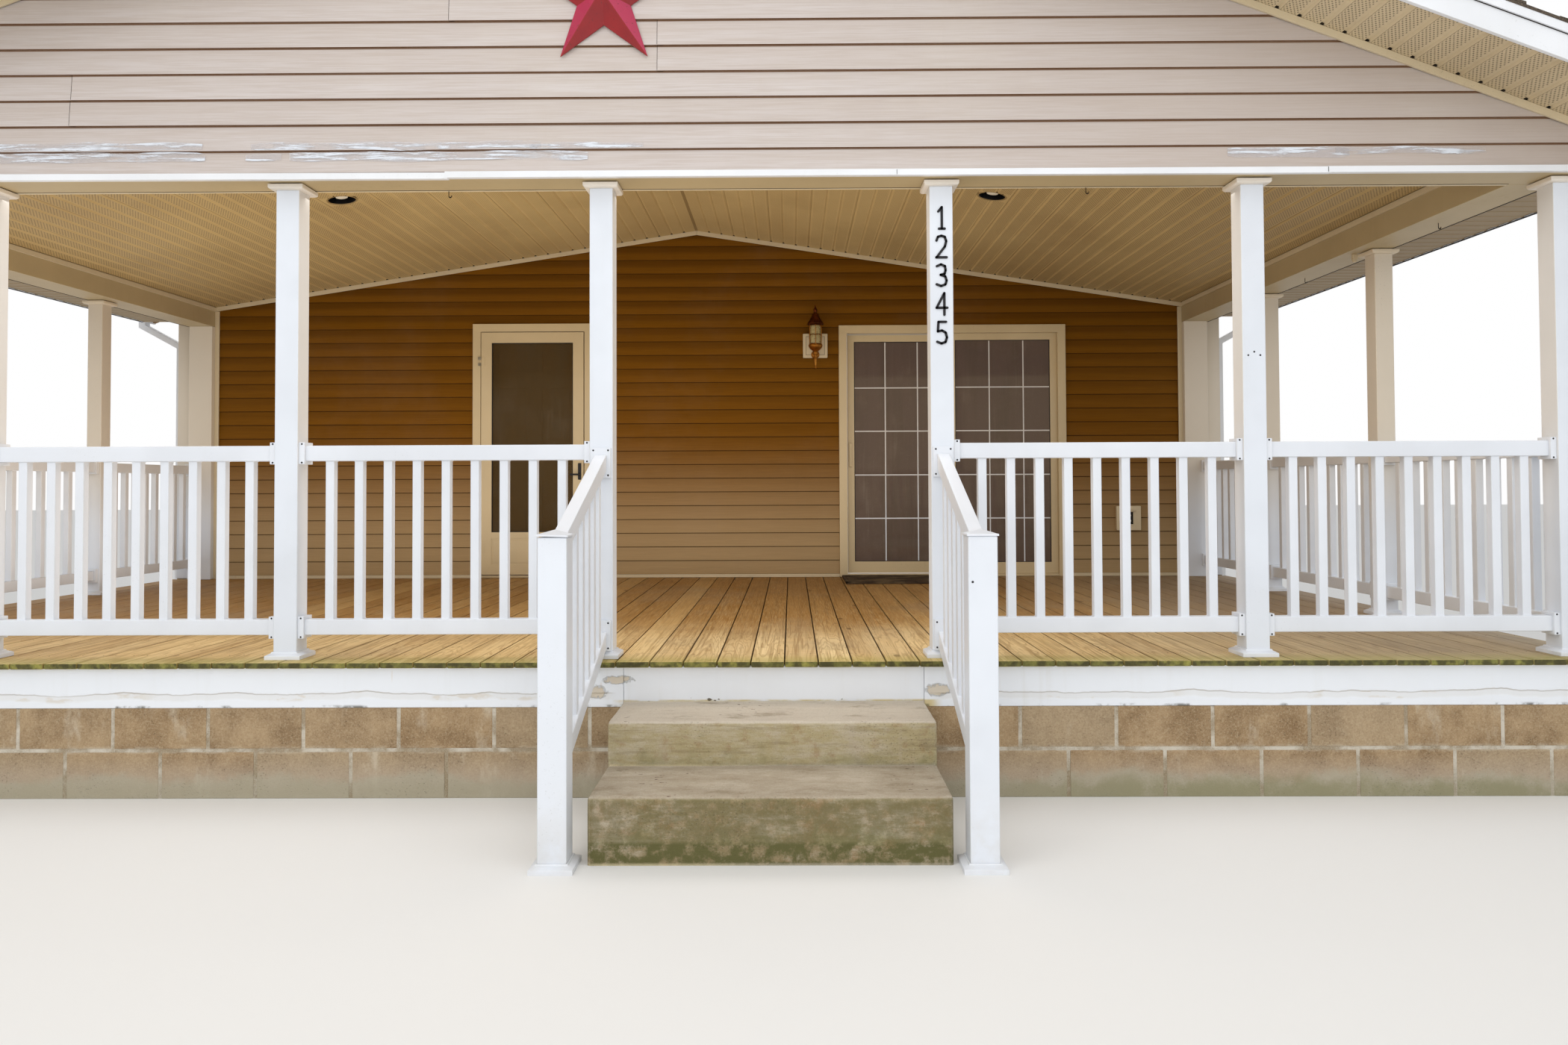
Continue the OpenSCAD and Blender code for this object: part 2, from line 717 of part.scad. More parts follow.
// Wall piers beside the doorways, low walls under them and the wall over them.
module house_wall() {
    d = depth + siding_t;
    a = deck_h + entry_h;
    b = deck_h + slider_h;
    step = entry_x + entry_w;
    color("#b9a98c") {
        along_y(d, wall_t)
            polygon([[-half_w, a + 0.3], [step, a + 0.3], [step, b + 0.3],
                     [half_w, b + 0.3], [half_w, soffit_z(half_w) - 0.3],
                     [0, ridge_soffit - 0.3], [-half_w, soffit_z(half_w) - 0.3]]);
        block([-half_w, d, rim_z], [entry_x, back, a]);
        block([step, d, rim_z], [slider_x, back, b]);
        block([slider_x + slider_w, d, rim_z], [half_w, back, b]);
        block([entry_x + 0.3, d, rim_z], [entry_x + entry_w - 0.3, back, deck_h]);
        block([slider_x + 0.3, d, rim_z], [slider_x + slider_w - 0.3, back, deck_h]);
    }
}

module house_siding() {
    z = deck_h + 26;
    o = trim_w;
    w = half_w;
    color("#a8875a") difference() {
        intersection() {
            translate([0, depth + siding_t, 0]) along_x(-w, 2 * w)
                lap_profile(z, ceil_low + ceil_rise);
            along_y(depth - 5, 40)
                polygon([[-w, z], [w, z], [w, ceil_low], [beam_in, ceil_low],
                         [0, ceil_low + ceil_rise], [-beam_in, ceil_low], [-w, ceil_low]]);
        }
        block([entry_x - o, depth - 20, deck_h - 5],
              [entry_x + entry_w + o, depth + 40, deck_h + entry_h + o]);
        block([slider_x - o, depth - 20, deck_h - 5],
              [slider_x + slider_w + o, depth + 40, deck_h + slider_h + o]);
    }
}

// Trim and jambs around a doorway, with a sill at its foot, back to depth end.
module door_frame(x, w, h, deep, end) {
    o = trim_w - 0.3;
    color("#d8cdb8") {
        difference() {
            union() {
                block([x - o, depth - trim_t, deck_h + 1],
                      [x + w + o, depth + siding_t, deck_h + h + o]);
                block([x, depth, deck_h + 1], [x + w, end, deck_h + h]);
            }
            block([x + jamb_w, depth - 40, deck_h - 1],
                  [x + w - jamb_w, back + 10, deck_h + h - jamb_w]);
        }
        block([x + jamb_w - 1, deep, deck_h + 1], [x + w - jamb_w + 1, end, deck_h + sill_h]);
    }
}

module entry_frame() {
    door_frame(entry_x, entry_w, entry_h, depth - 6, jamb_back);
}

module slider_frame() {
    door_frame(slider_x, slider_w, slider_h, depth - 6, back);
}

// A sliding door panel with an open pane, its left edge at x.
module panel_frame(x, d, low, top) {
    difference() {
        block([x, d, low], [x + panel_w, d + panel_t, top]);
        block([x + stile_w, d - 5, low + panel_low],
              [x + panel_w - stile_w, d + panel_t + 5, top - stile_w]);
    }
}

module pane(x, d, low, top) {
    block([x + stile_w + 0.3, d + panel_t / 2 - glass_t / 2, low + panel_low + 0.3],
          [x + panel_w - stile_w - 0.3, d + panel_t / 2 + glass_t / 2, top - stile_w - 0.3]);
}

module slider_fixed() {
    color("#d8cdb8") panel_frame(slider_x + slider_w - jamb_w - panel_w, fixed_y,
                                 deck_h + sill_h, deck_h + slider_h - jamb_w);
}

module slider_fixed_glass() {
    color("#5b6468", 0.5) pane(slider_x + slider_w - jamb_w - panel_w, fixed_y,
                               deck_h + sill_h, deck_h + slider_h - jamb_w);
}

module slider_panel() {
    color("#d8cdb8") panel_frame(slider_x + jamb_w + door_gap, slide_y,
                                 deck_h + sill_h + door_gap,
                                 deck_h + slider_h - jamb_w - door_gap);
}

module slider_glass() {
    color("#5b6468", 0.5) pane(slider_x + jamb_w + door_gap, slide_y,
                               deck_h + sill_h + door_gap,
                               deck_h + slider_h - jamb_w - door_gap);
}

module slider_handle() {
    x = slider_x + jamb_w + door_gap + 12;
    color("#cfc4a4") block([x, slide_y - 18, deck_h + 895], [x + 22, slide_y, deck_h + 1095]);
}

// Middle knuckle of a hinge at height z, bored for its pin, with a plate on the door.
// The pin stands at depth d, and the face of the door lies at depth d + side * pin_out.
module leaf_hinge(d, z, side) {
    t = 2;
    face = d + side * pin_out;
    y = side > 0 ? face - t : face;
    difference() {
        union() {
            translate([pin_x, d + y0, z - knuckle_h / 2]) cylinder(r = knuckle_r, h = knuckle_h);
            block([pin_x, y, z - knuckle_h / 2], [pin_x + 6, y + t, z + knuckle_h / 2]);
            block([pin_x + 5.2, y, z - 1.5 * knuckle_h],
                  [pin_x + 34, y + t, z + 1.5 * knuckle_h]);
        }
        translate([pin_x, d + y0, z - knuckle_h]) cylinder(r = pin_r + 0.3, h = 2 * knuckle_h);
    }
}

// Outer knuckles of a hinge on their brackets, joined by the pin.
module frame_hinge(d, z, side) {
    gap = 0.5;
    h = knuckle_h - gap;
    seat = side > 0 ? depth - trim_t : jamb_back;
    ys = side > 0 ? [d - pin_r, seat] : [seat, d + pin_r];
    for (z0 = [z - 1.5 * knuckle_h, z + knuckle_h / 2 + gap]) {
        translate([pin_x, d + y0, z0]) cylinder(r = knuckle_r, h = h);
        block([pin_x - 22, ys[0], z0], [pin_x, ys[1], z0 + h]);
    }
    translate([pin_x, d + y0, z - 1.5 * knuckle_h]) cylinder(r = pin_r, h = 3 * knuckle_h);
}

// Three hinges on the frame for the storm door and three for the entry door.
module door_hinges() {
    color("#b9b2a2") for (z = hinge_zs) {
        frame_hinge(storm_pin, z, 1);
        frame_hinge(entry_pin, z, -1);
    }
}

// Storm door leaf with a glazed upper part and a closed foot.
module storm_door() {
    a = entry_x + jamb_w + door_gap;
    b = entry_x + entry_w - jamb_w - door_gap;
    top = deck_h + entry_h - jamb_w - door_gap;
    color("#d8cdb8") for (z = hinge_zs) leaf_hinge(storm_pin, z, 1);
    color("#d8cdb8") difference() {
        block([a, storm_y, deck_h + sill_h + door_gap], [b, storm_y + storm_t, top]);
        block([a + storm_stile, storm_y - 5, deck_h + storm_glass_z],
              [b - storm_stile, storm_y + storm_t + 5, top - storm_stile]);
        block([a + storm_stile, storm_y - 5, deck_h + 110],
              [b - storm_stile, storm_y + 5, deck_h + storm_glass_z - 50]);
    }
}

module storm_glass() {
    a = entry_x + jamb_w + door_gap + storm_stile + 0.3;
    b = entry_x + entry_w - jamb_w - door_gap - storm_stile - 0.3;
    top = deck_h + entry_h - jamb_w - door_gap - storm_stile - 0.3;
    d = storm_y + storm_t / 2;
    color("#5b6468", 0.5) block([a, d - glass_t / 2, deck_h + storm_glass_z + 0.3],
                                [b, d + glass_t / 2, top]);
}

module storm_handle() {
    x = entry_x + entry_w - jamb_w - door_gap - 44;
    color("#1c1a18") {
        block([x, storm_y - 8, deck_h + 800], [x + 26, storm_y, deck_h + 935]);
        block([x + 6, storm_y - 42, deck_h + 835], [x + 20, storm_y - 7.9, deck_h + 850]);
        block([x - 60, storm_y - 42, deck_h + 835], [x + 20, storm_y - 30, deck_h + 850]);
    }
}

// A sunk field with a raised middle, cut into the front of the entry door.
module door_panel(x0, x1, z0, z1) {
    difference() {
        block([x0, entry_y - 1, z0], [x1, entry_y + 6, z1]);
        block([x0 + 26, entry_y + 1.5, z0 + 26], [x1 - 26, entry_y + 7, z1 - 26]);
    }
}

module entry_door() {
    a = entry_x + jamb_w + door_gap;
    b = entry_x + entry_w - jamb_w - door_gap;
    m = (a + b) / 2;
    rows = [[230, 820], [980, 1560], [1690, 1880]];
    color("#cdb98f") for (z = hinge_zs) leaf_hinge(entry_pin, z, -1);
    color("#cdb98f") difference() {
        block([a, entry_y, deck_h + sill_h + door_gap],
              [b, entry_y + entry_t, deck_h + entry_h - jamb_w - door_gap]);
        for (r = rows) {
            door_panel(a + 115, m - 55, deck_h + r[0], deck_h + r[1]);
            door_panel(m + 55, b - 115, deck_h + r[0], deck_h + r[1]);
        }
    }
}

module entry_knob() {
    x = entry_x + entry_w - jamb_w - door_gap - 62;
    color("#8a7748") translate([x, entry_y + y0, deck_h + 960]) rotate([90, 0, 0]) {
        cylinder(r = 28, h = 5);
        cylinder(r = 11, h = 20);
    }
}

// Mounting blocks on the siding for the lantern and for the outlet.
module wall_blocks() {
    color("#d8cdb8") {
        block([lantern_x - 100, depth - 30, deck_h + 1787],
              [lantern_x + 100, depth - 0.3, deck_h + 1984]);
        block([outlet_x, depth - 26, deck_h + 371],
              [outlet_x + 197, depth - 0.3, deck_h + 568]);
    }
}

// Turned wall lantern with six cage bars and a hooked tail, on an arm from its block.
module lantern() {
    d = 128;
    color("#6b4a2b") translate([lantern_x, depth - d + y0, deck_h]) {
        rotate_extrude() polygon([[0, 2040], [62, 2040], [66, 2048], [58, 2064], [40, 2090],
            [26, 2120], [22, 2134], [12, 2140], [14, 2152], [16, 2160], [10, 2172], [5, 2186],
            [4, 2200], [0, 2203]]);
        rotate_extrude() polygon([[0, 1688], [3, 1690], [6, 1720], [10, 1760], [9, 1790],
            [16, 1800], [22, 1812], [20, 1826], [44, 1846], [54, 1862], [56, 1876], [48, 1880],
            [0, 1880]]);
        for (i = [0 : 5]) rotate([0, 0, i * 60 + 30]) rotate([0, 0, 0])
            translate([47, -2.5, 1879]) cube([5, 5, 162]);
        translate([-6, 0, 1806]) cube([12, d - 36, 12]);
        translate([0, d - 30.3, 1812]) rotate([90, 0, 0]) cylinder(r = 34, h = 8);
    }
}

module lantern_glass() {
    color("#c9c2a8", 0.5) translate([lantern_x, depth - 128 + y0, deck_h + 1880.3]) difference() {
        cylinder(r = 44, h = 159.4);
        translate([0, 0, -1]) cylinder(r = 41, h = 162);
    }
}

module house_numbers() {
    color("#26242c") for (i = [0 : 4])
        block([post_x_step_r - 18, post_y - 4, deck_h + 1860 - i * 125],
              [post_x_step_r + 18, post_y, deck_h + 1950 - i * 125]);
}

module door_mat() {
    color("#4a443f") block([mat_x, depth - 37 - mat_d, deck_h + 0.1],
                           [mat_x + mat_w, depth - 37, deck_h + 18]);
}

foundation();
steps();
rim_boards();
joists();
deck_floor();
posts();
post_bases();
post_caps();
railing_front();
railing_sides();
stair_rails();
newels();
newel_caps();
rail_brackets();
beams();
ceiling();
ceiling_lights();
wall_trim();
gable_wall();
gable_siding();
drip_edges();
barn_star();
rafters();
roof_panels();
ridge_cap();
fascia();
soffits();
gutters();
downspouts();
house_wall();
house_siding();
entry_frame();
slider_frame();
slider_fixed();
slider_fixed_glass();
wall_blocks();
lantern();
lantern_glass();
house_numbers();
door_mat();
door_hinges();
storm_door();
storm_glass();
storm_handle();
entry_door();
entry_knob();
slider_panel();
slider_glass();
slider_handle();
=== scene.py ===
"""Front porch of a sided house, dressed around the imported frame.

Lengths are in metres. X runs to the right, Y into the house and Z up from the ground. Every group of
pieces is a class that reads its places from the frame and builds them; every finish is a small frozen
class that builds one procedural material.
"""

import logging
import math
import random
from dataclasses import dataclass, field
from enum import Enum
from typing import Callable, Sequence

import bmesh
import bpy
import numpy as np
from mathutils import Matrix, Vector, noise

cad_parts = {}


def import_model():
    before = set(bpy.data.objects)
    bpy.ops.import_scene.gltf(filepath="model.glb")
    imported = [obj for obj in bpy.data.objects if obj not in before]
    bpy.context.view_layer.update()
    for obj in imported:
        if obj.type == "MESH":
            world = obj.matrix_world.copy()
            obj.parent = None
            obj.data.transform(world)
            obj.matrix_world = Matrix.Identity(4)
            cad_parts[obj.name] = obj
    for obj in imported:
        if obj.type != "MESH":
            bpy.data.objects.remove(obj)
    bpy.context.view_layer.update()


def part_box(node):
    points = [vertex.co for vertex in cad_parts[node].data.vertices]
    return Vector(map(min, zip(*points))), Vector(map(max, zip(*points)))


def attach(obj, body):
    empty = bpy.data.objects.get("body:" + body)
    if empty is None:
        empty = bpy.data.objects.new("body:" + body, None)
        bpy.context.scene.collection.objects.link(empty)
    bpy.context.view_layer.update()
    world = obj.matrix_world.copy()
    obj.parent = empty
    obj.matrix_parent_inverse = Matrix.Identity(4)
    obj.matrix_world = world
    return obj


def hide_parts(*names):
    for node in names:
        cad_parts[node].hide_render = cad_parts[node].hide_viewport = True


LOG = logging.getLogger("porch")
SEED = 7
COURSE = 0.112
ROOF_FALL = 0.383
WELD = 0.00002
SEAM_LAP = 0.025
CORNER = 0.118
POST_HALF = 0.0508
POST_IN = 0.07
POST_XS = (-4.122, -2.772, -1.425, -0.055, 1.424, 2.772, 4.122)
STAIR_XS = (-0.055, 1.424)
STEP_MIDDLE = 0.69
LAMP_X = 2.018
LAMP_Y = 1.993
LANTERN_X = 0.968

Colour = tuple[float, float, float, float]
Outline = Sequence[tuple[float, float]]


def tint(code: str) -> Colour:
    """Turns a hex colour such as b08a4c into linear red, green, blue and alpha."""
    parts = [int(code[i:i + 2], 16) / 255 for i in (0, 2, 4)]
    linear = [c / 12.92 if c <= 0.04045 else ((c + 0.055) / 1.055) ** 2.4 for c in parts]
    return (*linear, 1.0)


class Axis(Enum):
    """The direction that a profile runs along."""

    X = 0
    Y = 1
    Z = 2


class Value:
    """A shader socket that can stand in sums."""

    def __init__(self, graph: "Graph", socket: bpy.types.NodeSocket) -> None:
        """Keeps the socket and the graph that its sums go into."""
        self.graph = graph
        self.socket = socket

    def __add__(self, other) -> "Value":
        """The sum with a number or another value."""
        return self.graph.math("ADD", self, other)

    def __mul__(self, other) -> "Value":
        """The product with a number or another value."""
        return self.graph.math("MULTIPLY", self, other)

    def __sub__(self, other) -> "Value":
        """The difference from a number or another value."""
        return self.graph.math("SUBTRACT", self, other)

    def __rsub__(self, other) -> "Value":
        """A number less this value."""
        return self.graph.math("SUBTRACT", other, self)

    def __truediv__(self, other) -> "Value":
        """This value over a number or another value."""
        return self.graph.math("DIVIDE", self, other)

    def __abs__(self) -> "Value":
        """The size of this value without its sign."""
        return self.graph.math("ABSOLUTE", self)
    __radd__ = __add__
    __rmul__ = __mul__


class Graph:
    """Adds shader nodes to one node tree with short calls, and gathers a surface's colour in layers."""

    def __init__(self, tree: bpy.types.NodeTree) -> None:
        """Keeps the tree that the nodes go into."""
        self.tree = tree
        self.shader: bpy.types.Node | None = None
        self.skin: Value | Colour | None = None

    def node(self, kind: str, inputs: dict | None = None, **settings) -> bpy.types.Node:
        """Adds one node.

        Args:
            kind: The node's type without its ShaderNode prefix.
            inputs: Values or sockets by input name or number.
            **settings: The node's own properties.

        Returns:
            The new node.
        """
        made = self.tree.nodes.new("ShaderNode" + kind)
        for name, value in settings.items():
            setattr(made, name, value)
        for name, value in (inputs or {}).items():
            self.feed(made.inputs[name], value)
        return made

    def take(self, key: int | str, kind: str, inputs: dict | None = None, **settings) -> Value:
        """Adds one node and gives its output of that name or number."""
        return Value(self, self.node(kind, inputs, **settings).outputs[key])

    def feed(self, socket: bpy.types.NodeSocket, value) -> None:
        """Links a socket to another, or writes a plain value on it."""
        source = value.socket if isinstance(value, Value) else value
        if isinstance(source, bpy.types.NodeSocket):
            self.tree.links.new(source, socket)
        else:
            socket.default_value = source

    def put(self, name: str, value) -> None:
        """Feeds an input of the surface's shader."""
        self.feed(self.shader.inputs[name], value)

    def lay(self, share, colour) -> None:
        """Lays a colour, as a hex code or a value, over the skin by a share."""
        self.skin = self.mix(share, self.skin, tint(colour) if isinstance(colour, str) else colour)

    def relief(self, height, distance: float, strength: float) -> None:
        """Shapes the normal by a height of 0 to 1 that stands for a distance in metres."""
        self.put("Normal",
                 self.take(0, "Bump", {"Height": height, "Distance": distance, "Strength": strength}))

    def math(self, operation: str, a, b=0.0, clamp: bool = False) -> Value:
        """One sum on numbers."""
        return self.take(0, "Math", {0: a, 1: b}, operation=operation, use_clamp=clamp)

    def mix(self, share, a, b) -> Value:
        """Blends colour b over colour a by a share."""
        return self.take(2, "Mix", {0: share, 6: a, 7: b}, data_type="RGBA")

    def fit(self, value, low: float, high: float, start: float = 0.0, end: float = 1.0) -> Value:
        """Maps a number from one range to another with soft ends."""
        inputs = {0: value, 1: low, 2: high, 3: start, 4: end}
        return self.take(0, "MapRange", inputs, interpolation_type="SMOOTHSTEP")

    def noise(self, vector, scale, detail: float = 4.0, rough: float = 0.55, warp: float = 0.0) -> Value:
        """Cloudy noise from 0 to 1 at a place."""
        inputs = {"Vector": vector, "Scale": scale, "Detail": detail, "Roughness": rough, "Distortion": warp}
        return self.take("Fac", "TexNoise", inputs)

    def stretch(self, vector, x: float, y: float, z: float) -> Value:
        """Scales a place along each axis."""
        return self.take(0, "VectorMath", {0: vector, 1: (x, y, z)}, operation="MULTIPLY")

    def shift(self, vector, amount) -> Value:
        """Moves a place by the same amount on each axis, so that each part has its own pattern."""
        return self.take(0, "VectorMath", {0: vector, 1: amount}, operation="ADD")

    def axes(self, vector) -> tuple[Value, ...]:
        """The X, Y and Z of a vector."""
        return tuple((Value(self, s) for s in self.node("SeparateXYZ", {0: vector}).outputs))

    def normal(self) -> Value:
        """The way that the surface faces."""
        return self.take("Normal", "NewGeometry")

    def attribute(self, name: str) -> Value:
        """A number that the mesh carries at its vertices."""
        return self.take("Fac", "Attribute", attribute_name=name)

    def effect(self, effect: "Effect", **inputs) -> dict[str, Value]:
        """Adds a shared effect and gives its outputs. An underscore in an input's name stands for a space."""
        made = self.tree.nodes.new("ShaderNodeGroup")
        made.node_tree = effect.tree()
        for name, value in inputs.items():
            self.feed(made.inputs[name.replace("_", " ")], value)
        return {s.name: Value(self, s) for s in made.outputs}


@dataclass(frozen=True)
class Effect:
    """A shared surface effect, kept as one node group with named inputs and outputs."""

    name: str
    inputs: dict[str, float]
    outputs: tuple[str, ...]
    fill: Callable[[Graph, dict], dict]

    def tree(self) -> bpy.types.NodeTree:
        """The effect's node group, made when it is first asked for."""
        found = bpy.data.node_groups.get(self.name)
        if found:
            return found
        tree = bpy.data.node_groups.new(self.name, "ShaderNodeTree")
        tree.interface.new_socket(name="Vector", in_out="INPUT", socket_type="NodeSocketVector")
        for name, value in self.inputs.items():
            made = tree.interface.new_socket(name=name, in_out="INPUT", socket_type="NodeSocketFloat")
            made.default_value = value
        for name in self.outputs:
            tree.interface.new_socket(name=name, in_out="OUTPUT", socket_type="NodeSocketFloat")
        graph = Graph(tree)
        entry = tree.nodes.new("NodeGroupInput")
        leave = tree.nodes.new("NodeGroupOutput")
        sockets = {s.name: Value(graph, s) for s in entry.outputs if s.name}
        for name, value in self.fill(graph, sockets).items():
            graph.feed(leave.inputs[name], value)
        return tree


def _grime(g: Graph, at: dict) -> dict:
    """Broad dusty patches, streaks that run down, and small specks."""
    v = at["Vector"]
    patches = g.fit(g.noise(v, at["Patch Scale"], 6, 0.62), 0.46, 0.74)
    runs = g.fit(g.noise(g.stretch(v, 1, 1, 0.06), at["Streak Scale"], 5, 0.6), 0.52, 0.78)
    specks = g.fit(g.noise(v, at["Speck Scale"], 1, 0.4), 0.69, 0.76)
    return {"Patches": patches, "Streaks": runs * g.fit(patches, -0.6, 1.0), "Specks": specks}


def _wood(g: Graph, at: dict) -> dict:
    """Grain that runs along Y: broad figure, growth rings, fine fibres and knots."""
    v = g.shift(at["Vector"], at["Tone"] * 31.7)
    figure = g.noise(g.stretch(v, 1, 0.07, 1), 9, 3, 0.5, 0.4)
    rings = g.fit(g.math("SINE", figure * 105), 0.25, 0.95)
    fibre = g.noise(g.stretch(v, 1, 0.025, 1), 260, 3, 0.6)
    knots = g.take("Distance", "TexVoronoi", {"Vector": g.stretch(v, 1, 0.42, 1), "Scale": 5.2})
    knots = g.fit(knots, 0.1, 0.04)
    lines = g.fit(g.noise(g.stretch(v, 1, 0.012, 1), 75, 3, 0.6), 0.46, 0.66)
    height = fibre * 0.6 + lines * 0.4
    return {"Figure": figure, "Rings": rings, "Lines": lines, "Fibre": fibre, "Knots": knots,
            "Height": height}


def _mineral(g: Graph, at: dict) -> dict:
    """Cast or pressed stone: cloudy tone, sandy grain and open pits."""
    v = at["Vector"]
    cloud = g.noise(v, at["Cloud Scale"], 6, 0.62)
    grain = g.noise(v, at["Grain Scale"], 3, 0.7)
    cells = g.take("Distance", "TexVoronoi", {"Vector": v, "Scale": at["Grain Scale"] * 0.4})
    pits = g.fit(cells, 0.28, 0.12) * g.fit(cloud, 0.42, 0.6)
    height = grain * 0.8 - pits * 0.7
    return {"Cloud": cloud, "Grain": grain, "Pits": pits, "Height": height}


def _moss(g: Graph, at: dict) -> dict:
    """Green growth that takes hold where a surface stays wet."""
    v = at["Vector"]
    broad = g.noise(v, 7, 5, 0.65)
    fine = g.noise(v, 120, 3, 0.7)
    grown = broad * 1.1 + fine * 0.35
    need = 1.45 - at["Wet"]
    mask = g.fit(grown - need, -0.22, 0.22)
    return {"Mask": mask, "Height": mask * fine}


def _emboss(g: Graph, at: dict) -> dict:
    """Shallow wood grain pressed into vinyl siding, along X."""
    v = g.shift(at["Vector"], at["Tone"] * 13.1)
    lines = g.noise(g.stretch(v, 0.022, 1, 1), 170, 4, 0.65, 0.15)
    waves = g.noise(g.stretch(v, 0.12, 1, 1), 38, 2, 0.5)
    return {"Height": lines * 0.65 + waves * 0.35, "Lines": lines}


def _slots(g: Graph, at: dict) -> dict:
    """Rows of small vent holes, every other row shifted by half a step."""
    along = at["Along"] / at["Step"]
    across = at["Across"] / at["Row"]
    odd = g.math("MODULO", g.math("FLOOR", across), 2.0) * 0.5
    a = abs(g.math("FRACT", along + odd) - 0.5)
    b = abs(g.math("FRACT", across) - 0.5)
    hole = g.fit(a, at["Length"], at["Length"] - 0.08) * g.fit(b, 0.4, 0.3)
    return {"Mask": hole}


def _peel(g: Graph, at: dict) -> dict:
    """Paint film torn along a wavy line, with bare patches and a curled edge."""
    z = g.axes(at["Vector"])[2]
    line = g.noise(g.stretch(at["Vector"], 1, 0, 0), 2.3, 5, 0.55)
    level = at["Level"] + (line - 0.5) * 0.075
    gap = z - level
    under = g.fit(gap, 0.0015, -0.0005) * g.fit(gap, -0.034, -0.02)
    edge = g.fit(gap, 0.005, 0.001) * g.fit(gap, -0.004, 0.0)
    torn = g.fit(g.noise(g.stretch(at["Vector"], 0.45, 1, 1.6), 11, 5, 0.6), 0.55, 0.62)
    bare = under * torn * g.fit(g.noise(g.stretch(at["Vector"], 1, 0, 0), 0.9, 2), 0.42, 0.5)
    return {"Film": under, "Edge": edge * g.fit(line, 0.2, 0.6), "Bare": bare}


def _worn(g: Graph, at: dict) -> dict:
    """Where a surface turns over an edge, from the difference of the rounded normal and the true one."""
    soft = g.take(0, "Bevel", {"Radius": at["Radius"]}, samples=4)
    true = g.normal()
    turn = g.take("Value", "VectorMath", {0: soft, 1: true}, operation="DOT_PRODUCT")
    rough = g.noise(at["Vector"], 60, 3, 0.6) * 0.1
    return {"Mask": g.fit(turn + rough, 1.02, 0.86)}


GRIME = Effect("Grime", {"Patch Scale": 1.4, "Streak Scale": 26.0, "Speck Scale": 150.0},
               ("Patches", "Streaks", "Specks"), _grime)
WOOD = Effect("Wood grain", {"Tone": 0.0}, ("Figure", "Rings", "Lines", "Fibre", "Knots", "Height"), _wood)
MINERAL = Effect("Mineral grain", {"Cloud Scale": 5.0, "Grain Scale": 260.0},
                 ("Cloud", "Grain", "Pits", "Height"), _mineral)
MOSS = Effect("Moss", {"Wet": 0.5}, ("Mask", "Height"), _moss)
EMBOSS = Effect("Embossed vinyl", {"Tone": 0.0}, ("Height", "Lines"), _emboss)
SLOTS = Effect("Vent slots", {"Along": 0.0, "Across": 0.0, "Step": 0.014, "Row": 0.006, "Length": 0.36},
               ("Mask",), _slots)
PEEL = Effect("Peeling paint", {"Level": 0.46}, ("Film", "Edge", "Bare"), _peel)
WORN = Effect("Worn edges", {"Radius": 0.008}, ("Mask",), _worn)


@dataclass(frozen=True)
class Finish:
    """One procedural material. A subclass wires what varies over the surface."""

    name: str
    colour: str
    rough: float = 0.5

    def wire(self, g: Graph, place: Value, tone: Value) -> None:
        """Lays the varying colours and feeds the roughness and the normals.

        Args:
            g: The material's graph.
            place: The object coordinates, in metres.
            tone: A random number of each part, from 0 to 1.
        """

    def settings(self) -> dict:
        """Constant values of the shader beyond colour and roughness."""
        return {}

    def material(self) -> bpy.types.Material:
        """The material, made when it is first asked for."""
        found = bpy.data.materials.get(self.name)
        if found:
            return found
        made = bpy.data.materials.new(self.name)
        made.use_nodes = True
        made.diffuse_color = tint(self.colour)
        made.node_tree.nodes.clear()
        g = Graph(made.node_tree)
        start = {"Base Color": tint(self.colour), "Roughness": self.rough, **self.settings()}
        g.shader = g.node("BsdfPrincipled", start)
        self.wire(g, g.take("Object", "TexCoord"), g.attribute("tone"))
        g.put("Base Color", g.skin)
        g.node("OutputMaterial", {"Surface": g.shader.outputs[0]})
        return made


@dataclass(frozen=True)
class Vinyl(Finish):
    """Smooth extruded vinyl or painted metal with light dust, rain streaks and a painted warm shade under the
    roof and on faces turned to the sides.
    """

    dust: str = "b8ab92"
    dirt: float = 0.35
    glaze: float = 0.0
    # Share of the painted warm shade, deepest under the roof and a little less on faces turned to the sides.
    warm: float = 0.0

    def settings(self) -> dict:
        """A clear glaze over enamelled pieces."""
        return {"Coat Weight": self.glaze, "Specular IOR Level": 0.45}

    def wire(self, g: Graph, place: Value, tone: Value) -> None:
        """Dust in broad patches, streaks down the faces, a slightly uneven skin and the painted warm shade.
        """
        grime = g.effect(GRIME, Vector=place)
        x, y, z = g.axes(place)
        base = tint(self.colour)
        deep = tuple((c * 0.93 for c in base[:3])) + (1.0,)
        g.skin = g.mix(g.fit(g.noise(g.shift(place, tone), 2.2, 3), 0.35, 0.7), base, deep)
        low = g.fit(z, 0.34, 0.02) * g.fit(g.noise(place, 14, 4), 0.3, 0.62)
        share = grime["Patches"] * 0.45 + grime["Streaks"] * 0.55
        share = share * self.dirt + low * min(self.dirt * 1.3, 0.5)
        g.lay(share, self.dust)
        # Painted shade: a warm cream tint further under the roof and on faces turned to the sides, from about
        # a metre up.
        turn = abs(g.axes(g.normal())[0])
        shade = g.math("MAXIMUM", g.fit(y, -1.45, -1.0, 0.0, self.warm),
                       g.fit(turn, 0.5, 0.9, 0.0, self.warm * 0.55))
        g.lay(shade * g.fit(z, 0.9, 1.7), "d9c8ab")
        spots = grime["Specks"] * (grime["Patches"] * min(1.0, self.dirt * 1.6))
        g.lay(spots, "5c5342")
        g.put("Roughness", g.fit(share, 0.0, 0.7, self.rough, self.rough + 0.25))
        waves = g.noise(place, 7, 2) + g.noise(place, 420, 2) * 0.06
        g.relief(waves, 0.0012, 0.6)


